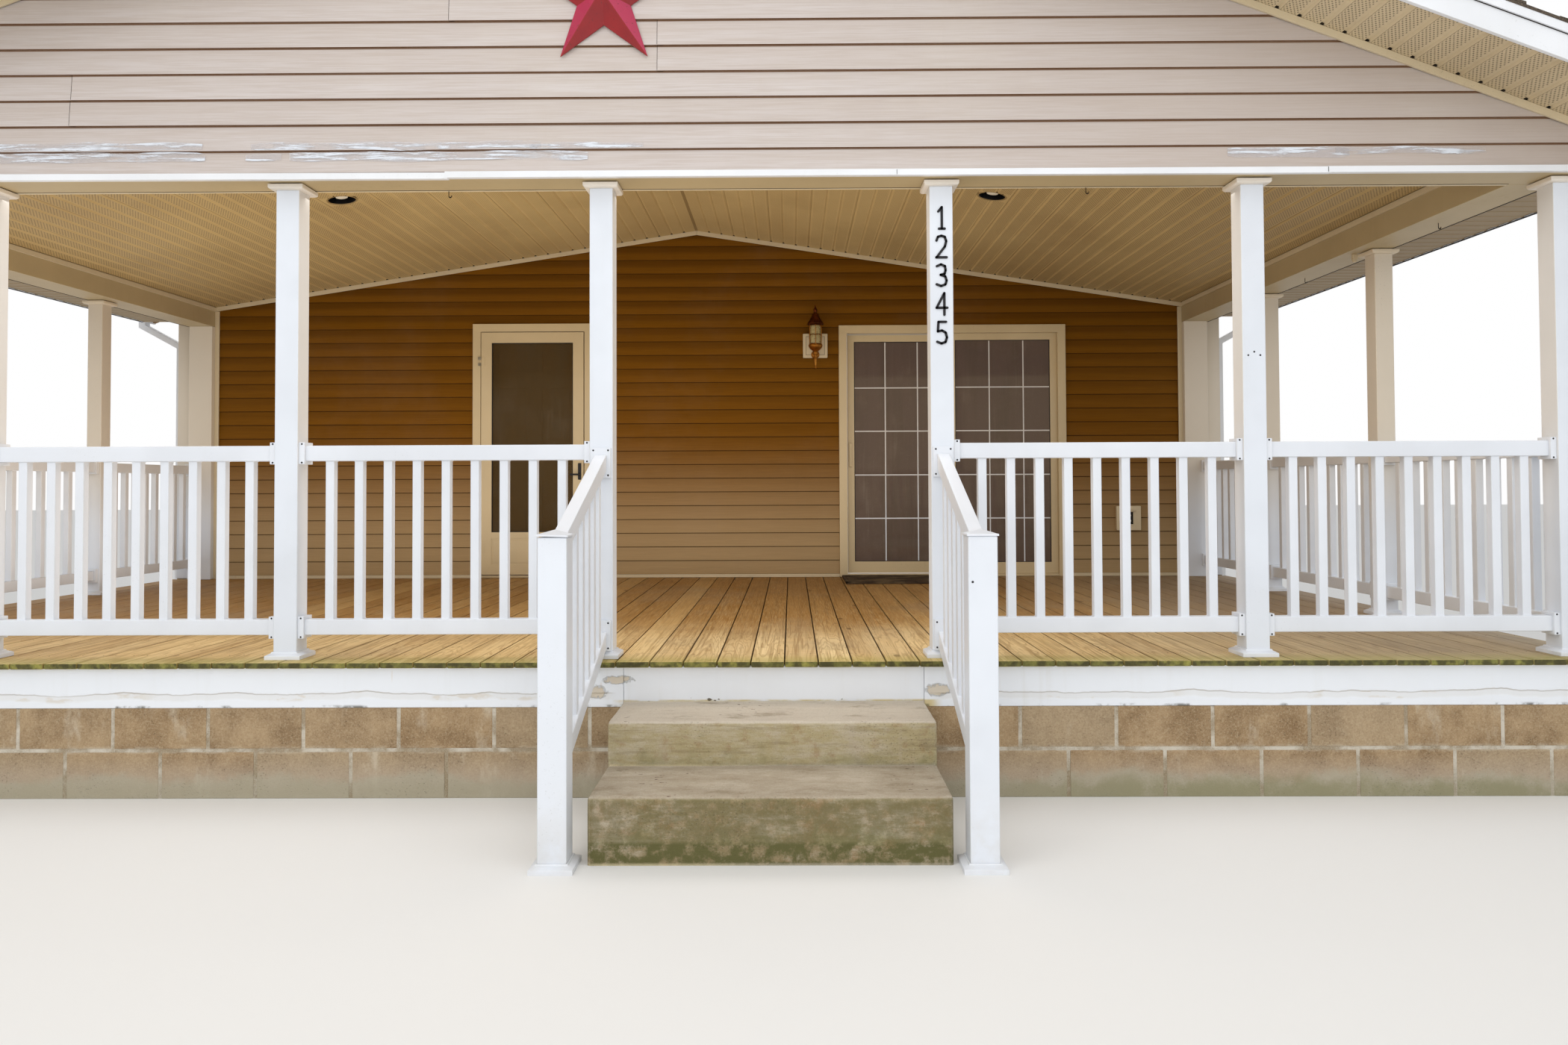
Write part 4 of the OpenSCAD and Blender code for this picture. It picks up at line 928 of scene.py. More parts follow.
class MeshBuilder:
    """Gathers parts into one mesh, each part with its own tone and finish."""

    def __init__(self, name: str, *finishes: Finish, tone: float | None = None) -> None:
        """Starts an empty piece.

        Args:
            name: The name of the piece.
            *finishes: The finishes that its parts choose from by number.
            tone: The tone of parts that bring none of their own, random if left out.
        """
        self.tone = tone
        self.name = name
        self.finishes = finishes
        self.points: list[tuple[float, float, float]] = []
        self.faces: list[list[int]] = []
        self.slots: list[int] = []
        self.values: dict[str, list[float]] = {"tone": [], "side": [], "vents": []}
        self.random = random.Random(f"{name}{SEED}")

    def add(self, points, faces, tone: float | None = None, finish: int = 0, side=None, vents=0.0) -> None:
        """Adds one part.

        Args:
            points: Its vertices.
            faces: Its faces, as lists of vertex numbers.
            tone: Its tone from 0 to 1, or the piece's if left out.
            finish: The number of its finish.
            side: A distance for each vertex, used by vent rows.
            vents: 1 where the part carries vents, for the whole part or for each vertex.
        """
        start = len(self.points)
        count = len(points)
        self.points.extend((tuple(map(float, p)) for p in points))
        self.faces.extend(([start + i for i in f] for f in faces))
        self.slots.extend([finish] * len(faces))
        own = self.tone if tone is None else tone
        own = self.random.random() if own is None else own
        self.values["tone"].extend([own] * count)
        self.values["side"].extend(side if side is not None else [0.0] * count)
        self.values["vents"].extend([vents] * count if isinstance(vents, float) else vents)

    def box(self, low, high, radius: float = 0.0015, turn: Matrix | None = None, **part) -> None:
        """Adds a bar between two corners with rounded edges, turned about its middle if asked."""
        low, high = np.array(low, float), np.array(high, float)
        half = (high - low) / 2
        radius = min(radius, float(half.min()) * 0.95)
        signs, normals, faces = rounded_box()
        points = signs * (half - radius) + radius * normals
        if turn is not None:
            points = points @ np.array(turn.to_3x3()).T
        self.add(points + (low + high) / 2, faces, **part)

    def prism(self, outline: Outline, axis: Axis, start, end, **part) -> None:
        """Runs an outline along an axis.

        Args:
            outline: Points across the axis, in the order of the other two axes.
            axis: The direction of the run.
            start: Where it starts, as a number or a function of an outline point.
            end: Where it ends, likewise.
            **part: The tone, finish and other values of the part.
        """
        ring = list(outline) if (signed_area(outline) > 0) != (axis is Axis.Y) else list(outline)[::-1]
        points = []
        for place in (start, end):
            for p in ring:
                at = place(p) if callable(place) else place
                point = list(p)
                point.insert(axis.value, at)
                points.append(point)
        n = len(ring)
        faces = [[i, (i + 1) % n, n + (i + 1) % n, n + i] for i in range(n)]
        faces += [list(range(n))[::-1], list(range(n, 2 * n))]
        self.add(points, faces, **part)

    def block(self, centre, half, radius: float, turn: Matrix | None = None, **part) -> None:
        """Adds a bar about its centre, from half of each of its sizes."""
        low, high = [c - h for c, h in zip(centre, half)], [c + h for c, h in zip(centre, half)]
        self.box(low, high, radius, turn, **part)

    def move(self, first: int, place: Matrix) -> None:
        """Moves every vertex from a number on by a matrix."""
        self.points[first:] = [tuple(place @ Vector(p)) for p in self.points[first:]]

    def collar(self, profile: Outline, low, high, **part) -> None:
        """Sweeps a profile around a rectangle.

        Args:
            profile: Points of (distance outside the rectangle, height).
            low: The rectangle's corner with the lesser X and Y.
            high: The rectangle's other corner.
            **part: The tone, finish and other values of the part.
        """
        points, n = [], len(profile)
        for r, z in profile:
            points += [(low[0] - r, low[1] - r, z), (high[0] + r, low[1] - r, z),
                       (high[0] + r, high[1] + r, z), (low[0] - r, high[1] + r, z)]
        faces = [
            [4 * i + k, 4 * i + (k + 1) % 4, 4 * (i + 1) % (4 * n) + (k + 1) % 4, 4 * (i + 1) % (4 * n) + k]
            for i in range(n) for k in range(4)
        ]
        self.add(points, faces, **part)

    def lathe(self, profile: Outline, centre, count: int = 24, axis: Axis = Axis.Z, **part) -> None:
        """Turns a profile of (radius, height) about an axis through a centre."""
        points, faces = [], []
        for k in range(count):
            a = 2 * math.pi * k / count
            for r, h in profile:
                point = [r * math.cos(a), r * math.sin(a)]
                point.insert(axis.value, h)
                points.append([c + p for c, p in zip(centre, point)])
        n = len(profile)
        for k in range(count):
            m = (k + 1) % count
            for i in range(n - 1):
                faces.append([k * n + i, m * n + i, m * n + i + 1, k * n + i + 1])
        self.add(points, faces, **part)

    def build(self, body: str = "porch", slot: str = "", replaces: Sequence[str] = (), angle: float = 38.0,
              weigh: bool = True) -> bpy.types.Object:
        """Args:
            body: The body of the frame that it rides on.
            slot: Not used.
            replaces: The frame's nodes that it stands for.
            angle: The angle in degrees over which an edge stays sharp.
            weigh: Whether wide faces keep flat shading next to their rounded edges.

        Returns:
            The object.
        """
        mesh = bpy.data.meshes.new(self.name)
        mesh.from_pydata(self.points, [], self.faces)
        for name, values in self.values.items():
            layer = mesh.attributes.new(name, "FLOAT", "POINT")
            layer.data.foreach_set("value", values)
        for finish in self.finishes:
            mesh.materials.append(finish.material())
        mesh.polygons.foreach_set("material_index", self.slots)
        mesh.validate()
        work = bmesh_normals(mesh)
        work.polygons.foreach_set("use_smooth", [True] * len(work.polygons))
        work.set_sharp_from_angle(angle=math.radians(angle))
        made = bpy.data.objects.new(self.name, work)
        bpy.context.scene.collection.objects.link(made)
        if weigh:
            weight = made.modifiers.new("Even shading", "WEIGHTED_NORMAL")
            weight.keep_sharp = True
        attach(made, body)
        if replaces:
            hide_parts(*replaces)
        LOG.info("%s: %d faces", self.name, len(mesh.polygons))
        return made


def bmesh_normals(mesh: bpy.types.Mesh) -> bpy.types.Mesh:
    """Turns every face outwards."""
    work = bmesh.new()
    work.from_mesh(mesh)
    bmesh.ops.recalc_face_normals(work, faces=work.faces)
    work.to_mesh(mesh)
    work.free()
    return mesh


def rounded_box() -> tuple[np.ndarray, np.ndarray, list[list[int]]]:
    """Corner signs, unit normals and faces of a box with two-step rounded edges."""
    steps = [(-1, -1.0), (-1, 0.0), (1, 0.0), (1, 1.0)]
    index, signs, normals = {}, [], []
    for i, a in enumerate(steps):
        for j, b in enumerate(steps):
            for k, c in enumerate(steps):
                if 0 in (i, j, k) or 3 in (i, j, k):
                    index[i, j, k] = len(signs)
                    signs.append((a[0], b[0], c[0]))
                    n = np.array((a[1], b[1], c[1]))
                    normals.append(n / np.linalg.norm(n))
    faces = []
    for axis in range(3):
        for side in (0, 3):
            for i in range(3):
                for j in range(3):
                    loop = []
                    for u, v in ((i, j), (i + 1, j), (i + 1, j + 1), (i, j + 1)):
                        key = [u, v]
                        key.insert(axis, side)
                        loop.append(index[tuple(key)])
                    flip = (side == 0) != (axis == 1)
                    faces.append(loop[::-1] if flip else loop)
    return (np.array(signs, float), np.array(normals), faces)


def signed_area(outline: Outline) -> float:
    """Twice the area inside an outline, above zero where it runs anticlockwise."""
    return sum((a[0] * b[1] - b[0] * a[1] for a, b in zip(outline, [*outline[1:], outline[0]])))


def border(low, high, width: float) -> tuple:
    """The four bars of a border inside a rectangle, each as its two corners."""
    (x0, y0), (x1, y1) = (low, high)
    return (((x0, y0), (x1, y0 + width)), ((x0, y1 - width), (x1, y1)), ((x0, y0), (x0 + width, y1)),
            ((x1 - width, y0), (x1, y1)))


def corners(axis: Axis, ends, edges, heights) -> tuple:
    """The two corners of a bar along X or Y, from its ends, its edges across and its heights."""
    pairs = zip(ends, sorted(edges), heights)
    return tuple((p if axis is Axis.X else (p[1], p[0], p[2]) for p in pairs))


def dress(node: str, finish: Finish, radius: float) -> None:
    """Gives a frame node its finish and softens its edges with modifiers."""
    made = bpy.data.objects[node]
    made.data.materials.clear()
    made.data.materials.append(finish.material())
    if radius > 0:
        weld = made.modifiers.new("Weld", "WELD")
        weld.merge_threshold = WELD
        bevel = made.modifiers.new("Soft edges", "BEVEL")
        bevel.width = radius
        bevel.segments = 2
        bevel.limit_method = "ANGLE"
        bevel.angle_limit = math.radians(32)
        made.modifiers.new("Even shading", "WEIGHTED_NORMAL")
    LOG.info("%s dressed with %s", node, finish.name)


@dataclass(frozen=True)
class Site:
    """Places that the sub-assemblies share, read from the frame."""

    half: float
    front: float
    depth: float
    deck: float
    back: float
    rim: float
    beam: float
    beam_out: float
    beam_in: float
    eave: float
    ridge: float
    ceil_low: float
    ceil_rise: float

    @classmethod
    def read(cls) -> "Site":
        """Reads every place from the frame's boxes."""
        base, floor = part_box("foundation"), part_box("deck_floor")
        beams, ceiling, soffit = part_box("beams"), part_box("ceiling"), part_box("soffits")
        inner = ceiling[1].x + 0.0003
        eave = soffit[1].x + 0.0003
        low = ceiling[0].z - 0.0003 * 0.612 / inner
        rise = ceiling[1].z - 0.012 - low + 0.001 * 0.612 / inner
        return cls(half=base[1].x, front=base[0].y, depth=floor[1].y + 0.003 - base[0].y, deck=floor[1].z,
                   back=base[1].y, rim=base[1].z, beam=beams[0].z, beam_out=beams[1].x, beam_in=inner,
                   eave=eave, ridge=soffit[0].z + 0.012 + ROOF_FALL * eave, ceil_low=low, ceil_rise=rise)

    def soffit(self, x: float) -> float:
        """Height of the roof's soffit line at x."""
        return self.ridge - ROOF_FALL * abs(x)

    def ceiling(self, x: float) -> float:
        """Height of the ceiling's underside at x."""
        return self.ceil_low + self.ceil_rise * (1 - abs(x) / self.beam_in)

    def under_ceiling(self, z: float) -> float:
        """Half the width that lies under the ceiling line at height z."""
        if z <= self.ceil_low:
            return self.half
        return min(self.half, self.beam_in * (1 - (z - self.ceil_low) / self.ceil_rise))

    def under_roof(self, z: float) -> float:
        """Half the width that lies under the soffit line at height z."""
        return min(self.beam_out, max(0.0, (self.ridge - z) / ROOF_FALL))


@dataclass
class Assembly:
    """A group of pieces that reads its places from the site and builds itself."""

    site: Site

    def build(self) -> None:
        """Builds every piece of the group."""
        raise NotImplementedError


@dataclass
class Foundation(Assembly):
    """Block walls in running bond with recessed mortar."""

    length: float = 0.4064
    height: float = 0.2032
    joint: float = 0.0145
    recess: float = 0.0028
    left_joint: float = -2.5295
    right_joint: float = 1.7321
    thick: float = 0.2

    def wall(self, work: MeshBuilder, axis: Axis, a: float, b: float, face: float, out: int,
             joint: float) -> None:
        """Lays one wall.

        Args:
            work: The piece that it goes into.
            axis: The direction of the wall.
            a: Where it starts.
            b: Where it ends.
            face: Where its outer face lies across the wall.
            out: 1 if the outer face looks to the greater side, else -1.
            joint: A joint of the upper course.
        """
        for course in (0, 1):
            low = course * self.height + (self.joint / 2 if course else 0.0)
            top = self.height - self.joint / 2 if course == 0 else self.site.rim
            first = joint + (0 if course else self.length / 2)
            k = math.floor((a - first) / self.length)
            while first + k * self.length < b:
                x0 = max(a, first + k * self.length + self.joint / 2)
                x1 = min(b, first + (k + 1) * self.length - self.joint / 2)
                k += 1
                if x1 - x0 < 0.02:
                    continue
                sink = work.random.uniform(0, 0.0012)
                edges = (face - out * sink, face - out * (self.thick - 0.004))
                work.box(*corners(axis, (x0, x1), edges, (low, top)), 0.0035)
        edges = (face - out * self.recess, face - out * (self.thick - 0.008))
        ends, heights = (a + self.recess, b - self.recess), (0.0, self.site.rim - 0.002)
        work.box(*corners(axis, ends, edges, heights), 0.001, tone=0.5, finish=1)

    def build(self) -> None:
        """Lays the front, the sides and the wall under the house."""
        s = self.site
        work = MeshBuilder("foundation_blocks", Paint.BLOCK, Paint.MORTAR)
        self.wall(work, Axis.X, -s.half, STEP_MIDDLE, s.front, -1, self.left_joint)
        self.wall(work, Axis.X, STEP_MIDDLE, s.half, s.front, -1, self.right_joint)
        self.wall(work, Axis.X, -s.half, s.half, s.back, 1, 0.1)
        for out in (-1, 1):
            self.wall(work, Axis.Y, s.front + self.thick, s.front + s.depth, out * s.half, out, s.front + 0.2)
        work.build(slot="block", replaces=["foundation"])


@dataclass
class Steps(Assembly):
    """Two cast steps with soft worn noses and chipped edges."""

    step: float = 0.017
    soft: float = 0.009
    chip: float = 0.0035

    def outline(self) -> list[tuple[float, float]]:
        """The profile in Y and Z, with rounded noses, in short steps."""
        low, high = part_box("steps")
        site = self.site
        tops = (site.deck - 0.172, site.deck - 0.341)
        reach = site.front - 0.384
        corners = [(high.y, 0.0), (high.y, tops[0]), (reach, tops[0]), (reach, tops[1]), (low.y, tops[1]),
                   (low.y, 0.0)]
        rounded = []
        for i, c in enumerate(corners):
            if i in (2, 4):
                a, b = Vector(corners[i - 1]) - Vector(c), Vector(corners[i + 1]) - Vector(c)
                one, two = Vector(c) + a.normalized() * 0.02, Vector(c) + b.normalized() * 0.02
                rounded += [tuple(one.lerp(Vector(c), t).lerp(Vector(c).lerp(two, t), t))
                            for t in np.linspace(0, 1, 6)]
            else:
                rounded.append(c)
        fine = []
        for a, b in zip(rounded, rounded[1:]):
            run = math.dist(a, b)
            n = max(1, round(run / self.step))
            fine += [tuple(Vector(a).lerp(Vector(b), k / n)) for k in range(n)]
        return fine + [rounded[-1]]

    def build(self) -> None:
        """Lofts the profile across the steps, sinking the surface a little where it is worn."""
        low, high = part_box("steps")
        ring = self.outline()
        inward = []
        for i, p in enumerate(ring):
            a, b = Vector(ring[max(i - 1, 0)]), Vector(ring[min(i + 1, len(ring) - 1)])
            d = (b - a).normalized()
            inward.append(Vector((-d.y, d.x)))
        inward = [-v if v.dot(Vector((1.0, -0.4))) < 0 else v for v in inward]
        xs = [low.x, low.x + 0.0025, low.x + self.soft]
        xs += list(np.linspace(low.x + self.soft, high.x - self.soft, 66))[1:-1]
        xs += [high.x - self.soft, high.x - 0.0025, high.x]
        points, faces = [], []
        n = len(ring)
        for x in xs:
            gap = min(x - low.x, high.x - x)
            inset = self.soft * (1 - math.sqrt(max(0.0, 1 - (1 - min(gap, self.soft) / self.soft) ** 2)))
            for i, (p, v) in enumerate(zip(ring, inward)):
                place = Vector((x, p[0], p[1]))
                wear = 0.5 + 0.5 * noise.noise(place * 9)
                fine = max(0.0, noise.noise(place * 38) - 0.1)
                sink = 0.0 if i in (0, n - 1) else wear * 0.0016 + fine * self.chip
                y, z = p[0] + v.x * (inset + sink), p[1] + v.y * (inset + sink)
                points.append((x, min(y, high.y), max(z, 0.0)))
        for k in range(len(xs) - 1):
            for i in range(n - 1):
                faces.append([k * n + i, (k + 1) * n + i, (k + 1) * n + i + 1, k * n + i + 1])
            faces.append([k * n, k * n + n - 1, (k + 1) * n + n - 1, (k + 1) * n])
        faces += [list(range(n)), list(range(len(points) - n, len(points)))[::-1]]
        work = MeshBuilder("concrete_steps", Paint.CONCRETE, tone=0.5)
        work.add(points, faces)
        work.build(slot="concrete", replaces=["steps"], angle=60, weigh=False)


@dataclass
class Deck(Assembly):
    """Deck boards that run front to back, with rounded edges and screw heads."""

    pitch: float = 0.1428
    gap: float = 0.0042
    joint: float = 0.7366

    def build(self) -> None:
        """Lays the boards, each with its own tone, length and height."""
        low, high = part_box("deck_floor")
        work = MeshBuilder("deck_boards", Paint.DECK, Paint.DARK)
        k = math.floor((low.x - self.joint) / self.pitch)
        joists = np.linspace(self.site.front + 0.181, high.y - 0.03, 9)
        while self.joint + k * self.pitch < high.x - 0.01:
            x0 = max(low.x, self.joint + k * self.pitch + self.gap / 2)
            x1 = min(high.x, self.joint + (k + 1) * self.pitch - self.gap / 2)
            k += 1
            if x1 - x0 < 0.012:
                continue
            drop = work.random.uniform(0, 0.0014)
            front = low.y + work.random.uniform(0, 0.005)
            tilt = Matrix.Rotation(work.random.uniform(-0.004, 0.004), 4, "Y")
            tone = work.random.random()
            work.box((x0, front, low.z), (x1, high.y, high.z - drop), 0.005, turn=tilt, tone=tone)
            for y in joists:
                for x in (x0 + 0.026, x1 - 0.026) if x1 - x0 > 0.1 else ():
                    top = high.z - drop + 0.0003
                    disc = [(0.0, top), (0.0026, top), (0.0034, top - 0.001)]
                    shift = work.random.uniform(-0.006, 0.006)
                    work.lathe(disc, (x + shift * 0.4, y + shift, 0.0), 6, tone=0.5, finish=1)
        work.build(slot="deck_wood", replaces=["deck_floor"])


@dataclass
class Fixings(Assembly):
    """Screw heads on the plates and brackets of the railings and on the posts."""

    plates: Sequence[tuple[float, float]] = (
        (-0.032, 0.054), (0.032, 0.054), (0.032, -0.054), (-0.032, -0.054)
    )

    def head(self, work: MeshBuilder, x: float, y: float, z: float) -> None:
        """Adds one pan head screw that looks to the front."""
        r = 0.0042
        work.lathe([(0.0, -0.0022), (r * 0.7, -0.0018), (r, 0.0)], (x, y, z), 10, Axis.Y)

    def build(self) -> None:
        """Sets the screws on what carries them."""
        s = self.site
        work = MeshBuilder("rail_screws", Paint.BLACK, tone=0.5)
        plate_face = s.front + POST_IN - 0.012
        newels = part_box("newels")
        for x in STAIR_XS:
            for z in (s.deck + 0.883 - 0.0402, s.deck + 0.098):
                for a, b in self.plates:
                    self.head(work, x + a, plate_face, z + b)
        self.head(work, 1.388, newels[0].y - 0.0002, newels[1].z - 0.157)
        rails = (s.deck + 0.924 - 0.067, s.deck + 0.1)
        face = s.front + POST_IN + POST_HALF - 0.026 - 0.014
        for i in (0, 1, 2, 4, 5):
            for x in (POST_XS[i] + POST_HALF + 0.013, POST_XS[i + 1] - POST_HALF - 0.013):
                for z in rails:
                    for b in (-0.007, 0.074):
                        self.head(work, x, face, z + b)
        for x, z in ((2.772 - 0.026, 1.505), (2.772, 1.52), (2.772 + 0.026, 1.505)):
            self.head(work, x, s.front + POST_IN, z + 0.37)
        work.build(slot="dark_metal")


@dataclass
class Collars(Assembly):
    """Moulded caps under the beam, bases at the foot and flat lids on the stair posts."""

    pitch: float = 1.385
    cap: Outline = ((0.0007, -0.0275), (0.0165, -0.0272), (0.0185, -0.0262), (0.0235, -0.0212),
                    (0.025, -0.0192), (0.025, -0.0058), (0.0238, -0.0045), (0.0007, -0.0045))
    base: Outline = ((0.0007, 0.0), (0.0252, 0.0), (0.0256, 0.0012), (0.0256, 0.0148), (0.0242, 0.0172),
                     (0.0212, 0.0188), (0.0066, 0.0262), (0.0058, 0.0298), (0.0044, 0.031), (0.0007, 0.031))
    lid: Outline = ((-0.049, 0.0), (0.0036, 0.0), (0.004, 0.0006), (0.004, 0.0058), (0.0032, 0.0068),
                    (-0.001, 0.0078), (-0.0503, 0.0232))

    def ring(self, work: MeshBuilder, profile: Outline, place: tuple[float, float], z: float) -> None:
        """Sweeps a profile around the post at a place, from height z."""
        low, high = [p - POST_HALF for p in place], [p + POST_HALF for p in place]
        work.collar([(r, z + h) for r, h in profile], low, high)

    def build(self) -> None:
        """Sets a cap and a base on every post, and a base and a lid on each stair post."""
        s = self.site
        y = s.front + POST_IN + POST_HALF
        places = [(x, y) for x in POST_XS]
        places += [(side * POST_XS[-1], y + k * self.pitch) for side in (-1, 1) for k in (1, 2)]
        steps = [(x, s.front - 0.86 + POST_HALF) for x in STAIR_XS]
        caps = MeshBuilder("cap_mouldings", Paint.CAP)
        bases = MeshBuilder("base_mouldings", Paint.WHITE)
        lids = MeshBuilder("newel_lids", Paint.WHITE)
        for place in places:
            self.ring(caps, self.cap, place, s.beam)
            self.ring(bases, self.base, place, s.deck)
        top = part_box("newel_caps")[0].z
        for place in steps:
            self.ring(bases, self.base, place, 0.0)
            self.ring(lids, self.lid, place, top)
        half = len(lids.points) // 2
        for i, (x, y, z) in enumerate(lids.points[:half]):
            lids.points[i] = (x, y, z + 0.0022 - 0.03 * (x - STAIR_XS[0]))
        caps.build(slot="cream_vinyl", replaces=["post_caps"], angle=50)
        bases.build(slot="white_vinyl", replaces=["post_bases"], angle=50)
        lids.build(slot="white_vinyl", replaces=["newel_caps"], angle=50)


@dataclass
class BeamTrim(Assembly):
    """Lip along the inner foot of the front beam with a painted shadow line at its joint, painted shadow
    lines along the side beams and the eaves, and the small hooks on the beams.
    """

    hooks: Sequence[tuple[float, float]] = ((-0.754, 0.0), (2.094, 0.0), (4.096, 0.615), (4.081, -0.801))

    def build(self) -> None:
        """Folds the lip, lays the painted shadow lines and bends the hooks."""
        s = self.site
        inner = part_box("ceiling")[0].y
        work = MeshBuilder("beam_lips", Paint.CREAM, Paint.DARK, tone=0.5)
        span = s.beam_in - 0.002
        work.box((-span, inner - 0.004, s.beam - 0.0014), (span, inner + 0.014, s.beam + 0.01), 0.0012,
                 tone=0.2)
        # Painted shadow: a dark strip in the joint beside the lip.
        work.box((-span, inner - 0.0095, s.beam - 0.0008), (span, inner - 0.0042, s.beam + 0.002), 0.0005,
                 finish=1)
        # Painted shadow lines along the outer foot of the side beams and along the eaves.
        for side in (-1, 1):
            for x, z, wide in ((s.beam_out - 0.004, s.beam - 0.0008, 0.005),
                               (s.eave + 0.004, 2.6851, 0.0075)):
                a, b = sorted((side * (x - wide), side * (x + wide)))
                work.box((a, s.front + 0.02, z), (b, s.front + s.depth - 0.02, z + 0.003), 0.0008, finish=1)
        work.box((4.02, -0.094, s.beam - 0.03), (4.048, -0.07, s.beam + 0.001), 0.004)
        work.lathe(
            [(0.0, 0.0), (0.009, 0.0005), (0.0125, 0.006), (0.012, 0.016), (0.008, 0.019), (0.0, 0.02)],
            (4.034, -0.082, s.beam - 0.046), 16
        )
        for x, y in self.hooks:
            place = y if x > 4 else inner + 0.004
            top = s.beam + 0.002
            for k in range(7):
                a = math.pi * (1.0 + 0.17 * k)
                low = (x + 0.0065 * math.cos(a), top - 0.024 + 0.0065 * math.sin(a))
                work.block((low[0], place, low[1]), (0.0015, 0.0015, 0.003), 0.0008, finish=1)
            work.box((x - 0.008, place - 0.0015, top - 0.024), (x - 0.005, place + 0.0015, top), 0.0008,
                     finish=1)
        work.build(slot="cream_vinyl", angle=30)


@dataclass
class LapSiding:
    """Courses of lapped vinyl siding with staggered overlap seams, each seam with a dark sliver of painted
    shadow.
    """

    name: str
    node: str
    finish: Finish
    slot: str
    plane: float
    low: float
    top: float
    reach: Callable[[float], float]
    gaps: Sequence[tuple[float, float, float]] = ()
    thick: float = 0.013
    lip: float = 0.0012
    corner: float = 0.0
    top_side: float = 0.0
    foot: float = 0.0
    seams: dict[int, float] = field(default_factory=dict)

    def spans(self, z: float, width: float) -> list[tuple[float, float]]:
        """The stretches of wall beside the openings at height z."""
        cuts = sorted((a, b) for a, b, head in self.gaps if z < head)
        made, x = [], -width
        for a, b in cuts:
            made.append((x, a))
            x = b
        return [*made, (x, width)]

    def piece(self, work: MeshBuilder, z: float, za: float, zb: float, a, b, out: float, **part) -> None:
        """Adds a stretch of one course.

        Args:
            work: The piece that it goes into.
            z: The foot of the course.
            za: The foot of the stretch.
            zb: The top of the stretch.
            a: Its left end, as a number or a function of height.
            b: Its right end, likewise.
            out: How far it stands out over the other panels.
            **part: Its tone and finish.
        """

        def face(h: float) -> float:
            share = min(1.0, (h - z) / COURSE)
            return self.plane - out - self.thick * (1 - 0.65 * share)

        back = self.plane
        if za <= z + 1e-06:
            outline = [(back, za), (face(z) + 0.0022, za), (face(z) + 0.0003, za + 0.0012),
                       (face(z), za + 0.004)]
        else:
            outline = [(back, za), (face(za), za)]
        outline += [(face(zb), zb), (back, zb)]
        start = (lambda p: a(p[1])) if callable(a) else a
        end = (lambda p: b(p[1])) if callable(b) else b
        work.prism(outline, Axis.X, start, end, **part)

    def build(self) -> None:
        """Hangs every course between the openings and under the slope."""
        work = MeshBuilder(self.name, self.finish, Paint.SLEEVE, Paint.DARK)
        if self.corner:
            edge, foot = self.reach(0.0) + self.corner, self.low - 0.02
            for x in (-edge + self.corner / 2 + 0.001, edge - self.corner / 2 - 0.001):
                half = self.corner / 2 - 0.001
                work.box((x - half, self.plane - 0.0128, foot), (x + half, self.plane, self.top_side), 0.002,
                         tone=0.3, finish=1)
        count = math.ceil((self.top - self.low) / COURSE)
        for k in range(count):
            z = self.low + k * COURSE
            end = min(z + COURSE, self.top - 0.002)
            if end - z < 0.004 or self.reach(z) < 0.02:
                continue
            heads = [h for _, _, h in self.gaps if z < h < end]
            tone, seam = work.random.random(), self.seams.get(k, 99.0)
            bands = sorted({max(z, self.foot), end, *heads})
            for za, zb in zip(bands, bands[1:]):
                wide = self.reach(za)
                for a, b in self.spans(za + 1e-05, wide):
                    cuts = [a, seam, b] if a < seam < b else [a, b]
                    for i, (p, q) in enumerate(zip(cuts, cuts[1:])):
                        left = (lambda h: -self.reach(h)) if p <= -wide + 1e-06 else p
                        lap = SEAM_LAP if i + 2 < len(cuts) else 0.0
                        right = (lambda h: self.reach(h)) if q >= wide - 1e-06 else q + lap
                        own = min(1.0, max(0.0, tone + work.random.uniform(-0.3, 0.3)))
                        self.piece(work, z, za, zb, left, right, self.lip * (i % 2), tone=own)
                        # A dark sliver on the face at each seam: painted shadow of the lap.
                        if i + 2 < len(cuts):
                            x = q + (SEAM_LAP if i % 2 else 0.0)
                            self.piece(work, z, max(za, z + 0.003), zb, x - 0.001, x + 0.0008,
                                       self.lip + 0.0003, tone=0.5, finish=2)
        work.build(slot=self.slot, replaces=[self.node], angle=30, weigh=False)


